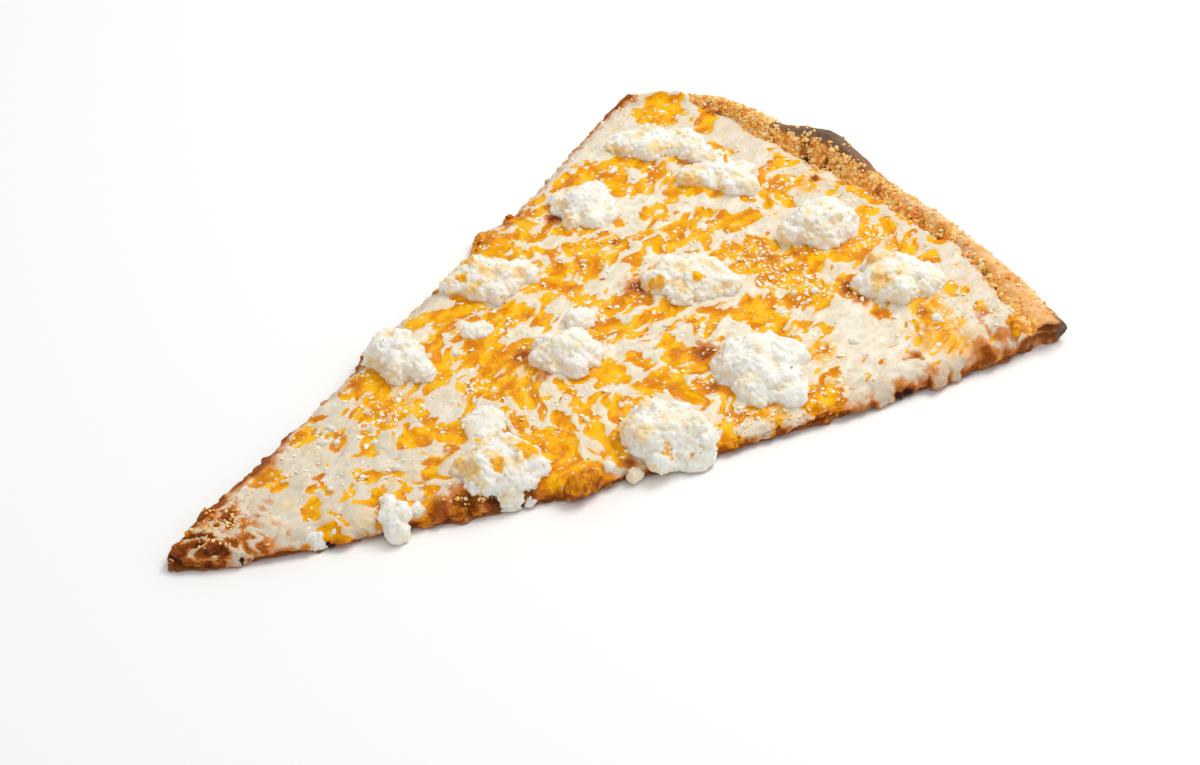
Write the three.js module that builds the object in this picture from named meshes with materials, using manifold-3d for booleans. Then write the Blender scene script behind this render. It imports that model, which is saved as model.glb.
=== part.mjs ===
/**
 * A cheese pizza slice: thin baked crust with a low rim, a melted cheese layer that
 * runs through the whole slice, and lumps of ricotta baked on top of it.
 *
 * Millimetres, +Z up. The slice lies flat on z = 0, with its point towards -X and its
 * rim towards +X. Places on it are given as a radius r from the middle of the pie and
 * an angle phi from the slice's own centre line.
 */
import * as THREE from 'three';
import { mergeVertices } from 'three/addons/utils/BufferGeometryUtils.js';
import Module from 'manifold-3d';

const wasm = await Module();
wasm.setup();

// ---------------------------------------------------------------- driving dimensions
const GAP = 0.3; // clearance between touching pieces
const PIE_CENTRE_X = -119; // the middle of the whole pie, where both cuts meet
const HALF_ANGLE = THREE.MathUtils.degToRad(19.65);
const TIP_RADIUS = 7; // the point is broken off blunt, this far from the pie's centre
const RIM_RADIUS = 227.3; // middle of the pie to the outside of the rim
const RIM_BAND = 8.5; // width of the bare rim
const RIM_HEIGHT = 8.8;
const BUBBLE = { at: 4, spread: 3.4, out: 3.2, up: 3.4 }; // charred bubble on the rim
const FAR_SWELL = { at: 14.5, spread: 3, out: 2.4 }; // the rim bellies out near the far cut
const BASE_THICKNESS = 2.6; // crust under the cheese, point to middle
const HEEL_RISE = 2.4; // extra crust thickness just inside the rim
const HEEL_START = 150; // radius at which the crust begins to thicken
const CHEESE_THICKNESS = 2.3;
const CHEESE_AT_TIP = 1.3;
const CHEESE_RELIEF = 0.4;
const RIM_CLEARANCE = 1.2; // the cheese ends this far short of the foot of the rim
const CURD_SWELL = 0.07; // how far a ricotta lump swells and sinks, as a share of its size
const LUMP_BELOW = 3.2; // depth of a ricotta lump under the top of the cheese, before the cut
const CUT_EDGE = { drop: 1.1, width: 2.6 }; // the melted top rounds down to each cut
const NEAR_BOW = 7.8; // the near cut bows out past a straight line
const FAR_WAVE = 0.9; // the far cut only waves a little
const TIP_BREAK = 2.8; // the near corner of the point is broken back
const NUGGET = { r: 94, phi: -24, radius: 5.5, height: 2.2 }; // fried lump of cheese

/**
 * Ricotta lumps. `along` runs from the pie's centre down the slice's centre line and
 * `across` runs towards the far cut; `turn` is the angle of the length, in degrees.
 */
const RICOTTA = [
  { along: 48.8, across: -21.4, length: 17, width: 7.5, height: 3.6, turn: 65 },
  { along: 75.1, across: -26.4, length: 22, width: 18, height: 7.5, turn: -35 },
  { along: 84.1, across: 19.6, length: 18, width: 16.5, height: 7.5, turn: -40 },
  { along: 122.8, across: 30.9, length: 23.5, width: 18, height: 6.5, turn: -42 },
  { along: 105.7, across: 18.1, length: 8.5, width: 6.5, height: 3.2, turn: -45 },
  { along: 114.5, across: -3.6, length: 17, width: 16, height: 7.5, turn: 40 },
  { along: 127.2, across: 4.6, length: 9, width: 8, height: 4, turn: 30 },
  { along: 110.3, across: -42.4, length: 21, width: 19, height: 8.5, turn: -40 },
  { along: 157.7, across: -1.9, length: 23, width: 19, height: 6.5, turn: -38 },
  { along: 143.7, across: -39.4, length: 31, width: 21, height: 8.5, turn: 58 },
  { along: 160.4, across: 40.4, length: 22, width: 20, height: 5.5, turn: -20 },
  { along: 196.4, across: 47.9, length: 29, width: 15.5, height: 5.5, turn: -45 },
  { along: 197.0, across: 25.3, length: 20, width: 15, height: 5.5, turn: -48 },
  { along: 197.2, across: -9.2, length: 20, width: 19.5, height: 8.5, turn: -40 },
  { along: 193.3, across: -38.6, length: 20.5, width: 20, height: 7.5, turn: -45 },
  { along: 83.9, across: -9.3, length: 16, width: 12, height: 2.4, turn: 50 },
];

// ---------------------------------------------------------------- mesh resolution
const CRUST_GRID = { along: 30, rim: 9, across: 12 };
const CHEESE_GRID = { along: 46, across: 14 };
const LUMP_GRID = { around: 16, rings: 8 };

const { clamp, degToRad, lerp, smoothstep } = THREE.MathUtils;

// ---------------------------------------------------------------- outline of the slice
/** A soft bump of height 1 at `at`, falling off over `spread`. */
function bump(value, at, spread) {
  return Math.exp(-(((value - at) / spread) ** 2));
}

/** How far the cut edge stands out past a straight radial cut, at radius r. */
function edgeOffset(r, side) {
  const t = clamp((r - 12) / (RIM_RADIUS - 8), 0, 1);
  if (side < 0) {
    const broken = TIP_BREAK * bump(r, TIP_RADIUS, 5);
    const lump = 1.3 * bump(r, NUGGET.r, 7);
    return NEAR_BOW * Math.sin(Math.PI * t) + lump - broken + 0.5 * Math.sin(r / 5.1);
  }
  const lumps = 2.2 * bump(r, 93, 7) + 3.2 * bump(r, 146, 8) + 1.2 * bump(r, 22, 9);
  return FAR_WAVE * Math.sin(r / 21) * Math.cos(r / 47) + lumps + 0.3 * Math.sin(r / 3.7);
}

/** Angle of the cut edge at radius r; side is -1 for the near cut and +1 for the far. */
function edgeAngle(r, side) {
  return side * (HALF_ANGLE + edgeOffset(r, side) / r);
}

/** Angle from the centre line of the place v of the way across, v from -1 to 1. */
function angleAcross(r, v) {
  return lerp(edgeAngle(r, -1), edgeAngle(r, 1), (v + 1) / 2);
}

/** Distance along the arc from the nearer cut edge. */
function depthFromCut(r, phi) {
  return r * Math.min(phi - edgeAngle(r, -1), edgeAngle(r, 1) - phi);
}

/** How much of the charred bubble is felt at angle phi, 0 to 1. */
function bubble(phi) {
  return bump(phi, degToRad(BUBBLE.at), degToRad(BUBBLE.spread));
}

/** Outer radius of the rim. */
function rimRadius(phi) {
  const towardsFar = Math.tanh((phi + degToRad(4)) / degToRad(5));
  const swell = FAR_SWELL.out * bump(phi, degToRad(FAR_SWELL.at), degToRad(FAR_SWELL.spread));
  const cornerTuck = 4 * smoothstep(phi, degToRad(15), degToRad(20));
  return RIM_RADIUS + 1.9 * towardsFar + BUBBLE.out * bubble(phi) + swell - cornerTuck;
}

/** Height of the rim's crest. */
function rimHeight(phi) {
  const corners = 1.4 * smoothstep(Math.abs(phi), degToRad(11), degToRad(19));
  return RIM_HEIGHT + BUBBLE.up * bubble(phi) - corners + 0.35 * Math.sin(phi * 41);
}

/** Radius at which the cheese ends and the bare rim begins. */
function rimFoot(phi) {
  const nearCorner = 4.5 * smoothstep(-phi, degToRad(11), degToRad(19));
  const behindBubble = 4 * bump(phi, degToRad(7.5), degToRad(4.5));
  return rimRadius(phi) - RIM_BAND - behindBubble - nearCorner + 0.8 * Math.sin(phi * 33);
}

// ---------------------------------------------------------------- heights
/** Top of the crust under the cheese. */
function baseTop(r) {
  const heel = clamp((r - HEEL_START) / (RIM_RADIUS - RIM_BAND - HEEL_START), 0, 1);
  return BASE_THICKNESS + HEEL_RISE * heel ** 1.3;
}

/** Gentle hills and hollows of the melted cheese. */
function cheeseRelief(x, y) {
  const broad = Math.sin(x / 8.5 + 1.4 * Math.sin(y / 12)) * Math.cos(y / 7.2 + x / 31);
  const fine = Math.sin(x / 3.9 - y / 5.3) * Math.sin(y / 3.4 + x / 9);
  return CHEESE_RELIEF * (0.7 * broad + 0.4 * fine);
}

/** Top of the cheese at radius r and angle phi. */
function cheeseTop(r, phi) {
  const [x, y] = placeAt(r, phi);
  const melt = lerp(CHEESE_AT_TIP, CHEESE_THICKNESS, smoothstep(r, 8, 45));
  const taper = 1.1 * smoothstep(r, rimFoot(phi) - 9, rimFoot(phi));
  const round = CUT_EDGE.drop * Math.exp(-Math.max(depthFromCut(r, phi), 0) / CUT_EDGE.width);
  const [nx, ny] = placeAt(NUGGET.r, degToRad(NUGGET.phi));
  const nugget = NUGGET.height * bump(Math.hypot(x - nx, y - ny), 0, NUGGET.radius);
  return baseTop(r) + melt - taper - round + nugget + cheeseRelief(x, y) * smoothstep(r, 5, 30);
}

/** Plan place of a radius and angle. */
function placeAt(r, phi) {
  return [PIE_CENTRE_X + r * Math.cos(phi), r * Math.sin(phi)];
}

/** A point at radius r and angle phi, moved sideways out of the slice, at height z. */
function pointAt(r, phi, z, outward = 0) {
  const [x, y] = placeAt(r, phi);
  return [x - outward * Math.sin(phi), y + outward * Math.cos(phi), z];
}

/** Spreads v over -1 to 1 so that rows crowd towards both cuts. */
function crowdEdges(v) {
  return Math.sign(v) * (1 - (1 - Math.abs(v)) ** 1.6);
}

// ---------------------------------------------------------------- solids
/** A closed body between an upper and a lower sheet on the same grid of u and v. */
function slab(upper, lower, columns, rows) {
  const positions = [];
  const indices = [];
  const stride = rows + 1;
  const sheet = (columns + 1) * stride;
  for (const place of [upper, lower]) {
    for (let i = 0; i <= columns; i += 1) {
      for (let j = 0; j <= rows; j += 1) {
        positions.push(...place(i / columns, (2 * j) / rows - 1));
      }
    }
  }
  const quad = (a, b, c, d) => indices.push(a, b, c, a, c, d);
  for (let i = 0; i < columns; i += 1) {
    for (let j = 0; j < rows; j += 1) {
      const a = i * stride + j;
      quad(a, a + stride, a + stride + 1, a + 1);
      quad(sheet + a, sheet + a + 1, sheet + a + stride + 1, sheet + a + stride);
    }
  }
  for (let i = 0; i < columns; i += 1) {
    const near = i * stride;
    const far = near + rows;
    quad(near, near + sheet, near + sheet + stride, near + stride);
    quad(far, far + stride, far + sheet + stride, far + sheet);
  }
  for (let j = 0; j < rows; j += 1) {
    const rim = columns * stride + j;
    quad(j, j + 1, j + sheet + 1, j + sheet);
    quad(rim, rim + sheet, rim + sheet + 1, rim + 1);
  }
  return geometryOf(positions, indices);
}

/** An indexed geometry with merged vertices. */
function geometryOf(positions, indices) {
  const geometry = new THREE.BufferGeometry();
  geometry.setAttribute('position', new THREE.Float32BufferAttribute(positions, 3));
  geometry.setIndex(indices);
  return mergeVertices(geometry, 1e-4);
}

/** Crust: flat base, then the rim's rounded section carried round the arc. */
function crustGeometry() {
  const { along, rim, across } = CRUST_GRID;
  const baseShare = along / (along + rim);
  const crest = 0.5; // the rim is highest half-way across its band
  const sectionAt = (u, phi) => {
    const foot = rimFoot(phi);
    if (u <= baseShare) {
      const r = lerp(TIP_RADIUS, foot, u / baseShare);
      return { r, top: baseTop(r), bottom: 0 };
    }
    const q = Math.sin(((u - baseShare) / (1 - baseShare)) * (Math.PI / 2));
    const r = lerp(foot, rimRadius(phi), q);
    const height = rimHeight(phi);
    const waist = 0.4 * height;
    const fall = Math.sqrt(Math.max(1 - (clamp(q - crest, 0, 1) / (1 - crest)) ** 2, 0));
    const rise = lerp(baseTop(foot), height, smoothstep(q, 0, crest));
    const top = q < crest ? rise : lerp(waist + 0.5, height, fall);
    const tuck = Math.sqrt(Math.max(1 - (clamp(q - 0.6, 0, 1) / 0.4) ** 2, 0));
    return { r, top, bottom: (waist - 0.5) * (1 - tuck) };
  };
  const place = (u, v, upper) => {
    const guess = sectionAt(u, v * HALF_ANGLE).r;
    const phi = angleAcross(guess, v);
    const { r, top, bottom } = sectionAt(u, phi);
    const outward = upper ? -0.2 * v : -0.9 * v;
    return pointAt(r, angleAcross(r, v), upper ? top : bottom, outward);
  };
  return slab(
    (u, v) => place(u, crowdEdges(v), true),
    (u, v) => place(u, crowdEdges(v), false),
    along + rim,
    across,
  );
}

/** Cheese: follows the crust a gap above it, thins out on the rim and rounds at the cuts. */
function cheeseGeometry() {
  const start = TIP_RADIUS + 0.6;
  const place = (u, v, upper) => {
    const end = rimFoot(v * HALF_ANGLE) - RIM_CLEARANCE;
    const r = lerp(start, end, u);
    const phi = angleAcross(r, v);
    const z = upper ? cheeseTop(r, phi) : baseTop(r) + GAP;
    return pointAt(r, phi, z, upper ? -0.3 * v : 0);
  };
  return slab(
    (u, v) => place(u, crowdEdges(v), true),
    (u, v) => place(u, crowdEdges(v), false),
    CHEESE_GRID.along,
    CHEESE_GRID.across,
  );
}

/** The slice grown by the gap: what a lump of ricotta rests on and must clear. */
function bedGeometry() {
  const place = (u, v, upper) => {
    const phiGuess = v * HALF_ANGLE;
    const r = lerp(TIP_RADIUS - GAP, rimFoot(phiGuess) + 2, u);
    const phi = angleAcross(r, v);
    const z = upper ? cheeseTop(r, phi) + GAP : -1;
    return pointAt(r, phi, z, (GAP + 0.2) * v);
  };
  return slab(
    (u, v) => place(u, crowdEdges(v), true),
    (u, v) => place(u, crowdEdges(v), false),
    CHEESE_GRID.along,
    CHEESE_GRID.across,
  );
}

/** A lumpy mound: an ellipsoid whose radius swells and sinks in a few curds. */
function lumpGeometry({ along, across, length, width, height, turn }, index) {
  const { around, rings } = LUMP_GRID;
  const bedZ = baseTop(Math.hypot(along, across)) + CHEESE_THICKNESS;
  const curds = (dx, dy, dz) => {
    const broad = Math.sin(3.1 * dx + index) * Math.cos(2.7 * dy - 2 * index);
    const fine = Math.sin(4.3 * dz + 2 * dx + 3 * index);
    return 1 + CURD_SWELL * (broad + fine);
  };
  const place = (a, t) => {
    const [dx, dy, dz] = [Math.cos(a) * Math.sin(t), Math.sin(a) * Math.sin(t), Math.cos(t)];
    const swell = curds(dx, dy, dz);
    const [lx, ly] = [(dx * swell * length) / 2, (dy * swell * width) / 2];
    const lz = dz * swell * (dz > 0 ? height : LUMP_BELOW);
    const [c, s] = [Math.cos(degToRad(turn)), Math.sin(degToRad(turn))];
    const middle = PIE_CENTRE_X + along;
    return [middle + c * lx - s * ly, across + s * lx + c * ly, bedZ + lz];
  };
  const positions = [];
  for (let i = 0; i <= rings; i += 1) {
    for (let j = 0; j < around; j += 1) {
      positions.push(...place((j / around) * 2 * Math.PI, (i / rings) * Math.PI));
    }
  }
  const indices = [];
  for (let i = 0; i < rings; i += 1) {
    for (let j = 0; j < around; j += 1) {
      const [a, b] = [i * around + j, i * around + ((j + 1) % around)];
      const [c, d] = [a + around, b + around];
      if (i < rings - 1) indices.push(a, c, d);
      if (i > 0) indices.push(a, d, b);
    }
  }
  return geometryOf(positions, indices);
}

// ---------------------------------------------------------------- boolean cuts
function toManifold(geometry) {
  const vertProperties = new Float32Array(geometry.attributes.position.array);
  const triVerts = new Uint32Array(geometry.index.array);
  return new wasm.Manifold(new wasm.Mesh({ numProp: 3, vertProperties, triVerts }));
}

function toGeometry(solid) {
  const { vertProperties, triVerts } = solid.getMesh();
  return geometryOf(Array.from(vertProperties), Array.from(triVerts));
}

/** The largest single body left of a solid after the bed has been cut away from it. */
function restOn(solid, bed) {
  const bodies = solid.subtract(bed).decompose();
  return bodies.reduce((best, body) => (body.volume() > best.volume() ? body : best));
}

// ---------------------------------------------------------------- the part
const materials = {
  crust: () => new THREE.MeshStandardMaterial({ color: '#c98b4f', roughness: 0.85, metalness: 0 }),
  cheese: () => new THREE.MeshStandardMaterial({ color: '#f2b34a', roughness: 0.45, metalness: 0 }),
  ricotta: () => new THREE.MeshStandardMaterial({ color: '#f6f1e4', roughness: 0.7, metalness: 0 }),
};

function meshOf(name, geometry, material) {
  const mesh = new THREE.Mesh(geometry, material);
  mesh.name = name;
  return mesh;
}

function buildSlice() {
  const slice = new THREE.Group();
  slice.add(meshOf('crust', crustGeometry(), materials.crust()));
  slice.add(meshOf('cheese_layer', cheeseGeometry(), materials.cheese()));
  const bed = toManifold(bedGeometry());
  let placed = null;
  RICOTTA.forEach((lump, index) => {
    let solid = toManifold(lumpGeometry(lump, index));
    if (placed) solid = solid.subtract(placed);
    const body = restOn(solid, bed);
    const name = `ricotta_${String(index + 1).padStart(2, '0')}`;
    slice.add(meshOf(name, toGeometry(body), materials.ricotta()));
    const grown = toManifold(lumpGeometry(grow(lump), index));
    placed = placed ? placed.add(grown) : grown;
  });
  return slice;
}

/** A lump enlarged by the gap on every side. */
function grow(lump) {
  return {
    ...lump,
    length: lump.length + 2 * GAP,
    width: lump.width + 2 * GAP,
    height: lump.height + GAP,
  };
}

const group = buildSlice();
export default group;
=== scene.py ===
"""Looks of a cheese pizza slice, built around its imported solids.

The slice is described in millimetres by a radius r from the middle of the pie and an angle
phi from the slice's own centre line, or by the distances `along` that line and `across` it.
Every surface is a function on a grid, worked out as whole arrays, and goes into its mesh
in metres.
"""

import math
from collections import namedtuple

import bpy
import numpy as np
from bpy.props import FloatProperty, FloatVectorProperty, IntProperty, PointerProperty
from bpy.types import Operator, Panel, PropertyGroup
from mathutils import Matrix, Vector


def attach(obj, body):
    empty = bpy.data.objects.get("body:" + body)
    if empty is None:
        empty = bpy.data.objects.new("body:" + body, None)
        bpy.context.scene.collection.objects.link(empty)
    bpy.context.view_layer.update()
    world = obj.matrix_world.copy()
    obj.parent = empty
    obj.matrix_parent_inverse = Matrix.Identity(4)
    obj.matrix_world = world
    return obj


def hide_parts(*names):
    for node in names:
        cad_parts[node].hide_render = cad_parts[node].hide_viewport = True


bl_info = {
    "name": "Cheese pizza slice",
    "version": (1, 0, 0),
    "blender": (4, 5, 0),
    "location": "3D View > Sidebar > Pizza",
    "description": "Builds a baked cheese pizza slice around its packed solids",
    "category": "Add Mesh",
}

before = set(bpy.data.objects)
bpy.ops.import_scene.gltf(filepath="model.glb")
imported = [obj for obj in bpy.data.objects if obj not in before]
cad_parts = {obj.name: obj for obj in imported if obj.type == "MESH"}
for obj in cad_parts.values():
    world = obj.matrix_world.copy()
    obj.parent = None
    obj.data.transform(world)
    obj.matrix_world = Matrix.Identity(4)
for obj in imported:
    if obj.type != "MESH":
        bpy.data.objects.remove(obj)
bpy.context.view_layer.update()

MM = 0.001
PIE_CENTRE_X = -119.0  # x of the middle of the whole pie, in the frame
TIP_RADIUS = 7.0
CREST = 0.5  # the rim is highest half-way across its band
NUGGET = (94.0, -24.0)  # radius and angle in degrees of the fried lump of cheese
SWIRL = (98.0, -26.0)  # along and across, where the melted shreds turn across the slice
WAIST = 0.4  # height of the rim's outermost line, as a share of its crest
BUBBLE = (4.0, 3.4)  # angle and spread in degrees of the charred bubble on the rim
DRIPPING = (188.0, 24.0)  # radius and spread of the stretch of near cut where cheese drips
CRUMB_REACH = 219.0  # nothing is strewn on the cheese past this radius
GRAIN_TRIES, CRUMB_TRIES, BED_TRIES = 34000, 15000, 30000  # places tried for scattered pieces
LUMP_DEPTH = 1.9  # how far a ricotta lump reaches below its foot, at most, away from a cut
LUMP_STEP, BIT_STEP, CRISP_STEP = 0.3, 0.22, 0.2  # lattice steps of the curds' surfaces
FULL_TURN = 2 * math.pi


def srgb(red, green, blue):
    """Display red, green and blue, 0 to 255, as the linear colour that a shader takes."""
    c = np.array([red, green, blue]) / 255
    linear = np.where(c <= 0.04045, c / 12.92, ((c + 0.055) / 1.055) ** 2.4)
    return tuple(float(x) for x in linear)


# ------------------------------------------------------------------ settings
def size(name, description, default, low, high):
    """A length in millimetres that a user may change."""
    return FloatProperty(name=name, description=description, default=default, min=low, max=high)


def angle_size(name, description, degrees):
    """An angle that a user may change."""
    return FloatProperty(name=name, description=description, default=math.radians(degrees), subtype="ANGLE")


def colour(name, description, *display):
    """A colour that a user may change, given as display red, green and blue."""
    return FloatVectorProperty(
        name=name, description=description, subtype="COLOR", size=3, default=srgb(*display), min=0, max=1
    )


class SliceSizes(PropertyGroup):
    """Sizes of the dough and the cheese."""

    half_angle: angle_size("Half angle", "Angle from the centre line to each cut", 19.65)
    rim_radius: size("Rim radius", "Middle of the pie to the outside of the rim, mm", 227.3, 200, 260)
    rim_band: size("Rim band", "Width of the bare rim, mm", 8.5, 4, 20)
    rim_height: size("Rim height", "Height of the rim's crest, mm", 8.8, 4, 20)
    base_thickness: size("Base thickness", "Crust under the cheese at the point, mm", 2.6, 1, 8)
    heel_rise: size("Heel rise", "Extra crust thickness just inside the rim, mm", 2.4, 0, 6)
    heel_start: size("Heel start", "Radius at which the crust begins to thicken, mm", 150, 50, 200)
    cheese_thickness: size("Cheese thickness", "Melted cheese over the crust, mm", 2.3, 0.5, 6)
    near_bow: size("Near bow", "How far the near cut bows out, mm", 7.8, 0, 20)


class SliceColours(PropertyGroup):
    """Colours of the foods."""

    mozzarella: colour("Mozzarella", "Melted mozzarella", 232, 222, 201)
    mozzarella_bright: colour("Bright mozzarella", "Mozzarella where it is thick", 247, 240, 223)
    # Thin mozzarella is also painted shade along both cuts.
    mozzarella_grey_and_shade: colour("Thin mozzarella", "Mozzarella where it is thin and cool", 210, 197, 178)
    blush: colour("Stained mozzarella", "Mozzarella stained by cheddar", 246, 206, 128)
    cheddar: colour("Cheddar", "Melted orange cheddar", 254, 187, 4)
    cheddar_bright: colour("Bright cheddar", "Cheddar where it is thick", 255, 193, 26)
    speckle: colour("Speckled mozzarella", "Mozzarella freckled with fine cheddar", 246, 180, 52)
    cheddar_deep: colour("Deep cheddar", "Cheddar where it is hottest", 226, 138, 0)
    # Toasted, fried and scorched cheese also paint shade down the near cut, in the folds' hollows and beside
    # some ricotta lumps.
    toasted: colour("Toasted cheese", "Cheese turning golden brown", 210, 122, 24)
    fried: colour("Fried cheese", "Cheese browned at the edges", 154, 76, 16)
    scorched: colour("Scorched", "The darkest burnt spots", 58, 24, 10)
    ricotta: colour("Ricotta", "Baked ricotta", 255, 251, 241)
    # The crease colour is painted shade between the curds.
    ricotta_crease_shade: colour("Ricotta creases", "Ricotta between its curds", 250, 236, 211)
    # Toasted ricotta is also warm painted shade on each lump's side away from the key light.
    ricotta_toast: colour("Toasted ricotta", "Ricotta's browned high spots", 255, 216, 152)
    dough: colour("Dough", "Pale baked dough", 246, 206, 156)
    crust: colour("Crust", "Golden crust of the rim", 234, 168, 98)
    crust_dark: colour("Dark crust", "Brown crust", 152, 82, 28)
    glaze: colour("Glaze", "Cheese fried onto the rim", 234, 140, 32)
    char: colour("Char", "Charred crust", 132, 102, 82)
    flour: colour("Flour", "Flour baked onto the underside", 232, 218, 196)
    grain: colour("Grated cheese", "Fine grated hard cheese", 255, 251, 238)
    grain_cream: colour("Cream grated cheese", "The creamier grains", 252, 236, 200)
    crumb_pale: colour("Pale crumbs", "Lightly toasted crumbs", 255, 232, 174)
    crumb: colour("Toasted crumbs", "Grated cheese toasted on the rim", 255, 206, 112)
    crumb_brown: colour("Brown crumbs", "The brownest crumbs", 244, 150, 52)


class StageSettings(PropertyGroup):
    """Floor, lights and camera."""

    camera_azimuth: angle_size("Azimuth", "Turn of the camera", -43.3475)
    camera_elevation: angle_size("Elevation", "Height angle of the camera", 36.4232)
    camera_distance: FloatProperty(
        name="Distance", description="Camera to its target", default=0.549052, unit="LENGTH"
    )
    camera_target: FloatVectorProperty(
        name="Target", description="Floor place that the camera faces, mm", size=2, default=(-0.685, -11.949)
    )
    lens: FloatProperty(name="Lens", description="Focal length on a 36 mm sensor", default=70)
    key_power: FloatProperty(name="Key light", description="Power of the key light", default=4.3)
    fill_power: FloatProperty(name="Top light", description="Power of the light overhead", default=1.0)
    front_power: FloatProperty(name="Front light", description="Power of the front fill", default=0.1)
    sky: FloatProperty(name="Sky", description="Strength of the even light all round", default=0.55)
    floor: colour("Floor", "Pale floor", 252, 252, 251)


def sizes():
    """The sizes that the user has set."""
    return bpy.context.scene.slice_sizes


def colours():
    """The colours that the user has set."""
    return bpy.context.scene.slice_colours


# ------------------------------------------------------------------ what lies where
# Places are in millimetres, along the slice from the middle of the pie, and across it towards
# the far cut. A radius is from the middle of the pie too.
Lump = namedtuple("Lump", "along across length width height turn toast lobes")
Bit = namedtuple("Bit", "along across length width height turn toast z lobes")
SHADED_SIDE = math.radians(137)  # the side of each lump away from the key light, toasted most and given warm painted shade

# Lumps of ricotta. A lobe is its bearing in degrees, its swell and its spread in degrees.
RICOTTA = (
    Lump(48.8, -21.2, 15, 5.2, 3.0, 65, 0.35, ((60, 0.1, 40), (-120, 0.12, 25))),
    Lump(75.1, -26.4, 22, 18, 7.5, -35, 0.7, ((90, 0.16, 25), (-20, 0.12, 20), (-80, -0.16, 30))),
    Lump(84.4, 21.6, 15.5, 17.5, 8, -40, 0.45, ((70, 0.2, 26), (-85, 0.2, 30))),
    Lump(122.0, 31.4, 21.5, 18, 7, -42, 0.8, ((150, 0.1, 25), (-40, 0.02, 22), (60, 0.1, 25))),
    Lump(105.7, 18.1, 8.5, 6.5, 3.2, -45, 0.15, ((90, 0.15, 30),)),
    Lump(114.5, -3.6, 17, 16, 7.5, 40, 0.45, ((-80, 0.16, 30), (150, 0.14, 25))),
    Lump(127.2, 4.6, 9, 8, 4, 30, 0.3, ((0, 0.1, 30),)),
    Lump(110.3, -42.4, 21, 19, 8.5, -40, 0.5, ((60, 0.1, 25), (150, 0.12, 25), (-60, 0.12, 28))),
    Lump(158.2, -2.4, 22.5, 19, 7, -38, 0.7, ((165, 0.06, 25), (-50, 0.16, 20), (50, 0.1, 20))),
    Lump(143.7, -39.4, 31, 21, 8.5, 58, 0.35, ((120, 0.14, 25), (-10, 0.1, 25), (-95, 0.12, 20))),
    Lump(161.6, 39.6, 19, 20, 5.5, -20, 0.55, ((30, 0.14, 25), (160, 0.14, 22))),
    Lump(196.4, 47.9, 28, 15.5, 4.8, -45, 0.6, ((145, 0.12, 20), (-40, 0.12, 20))),
    Lump(197.0, 25.3, 21, 16, 4.6, -48, 0.6, ((-20, 0.16, 22), (-70, 0.12, 22), (140, 0.08, 25))),
    Lump(197.2, -9.2, 20, 19.5, 8.5, -40, 0.5, ((10, 0.1, 25), (120, 0.12, 25), (-110, 0.1, 25))),
    Lump(193.3, -38.6, 20.5, 20, 7.5, -45, 0.65, ((130, 0.16, 25), (-30, 0.12, 25), (-120, 0.1, 25))),
    Lump(84.5, -10.5, 15, 11, 1.5, 50, 0.15, ((50, 0.2, 25), (-130, 0.15, 30))),
)

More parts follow.
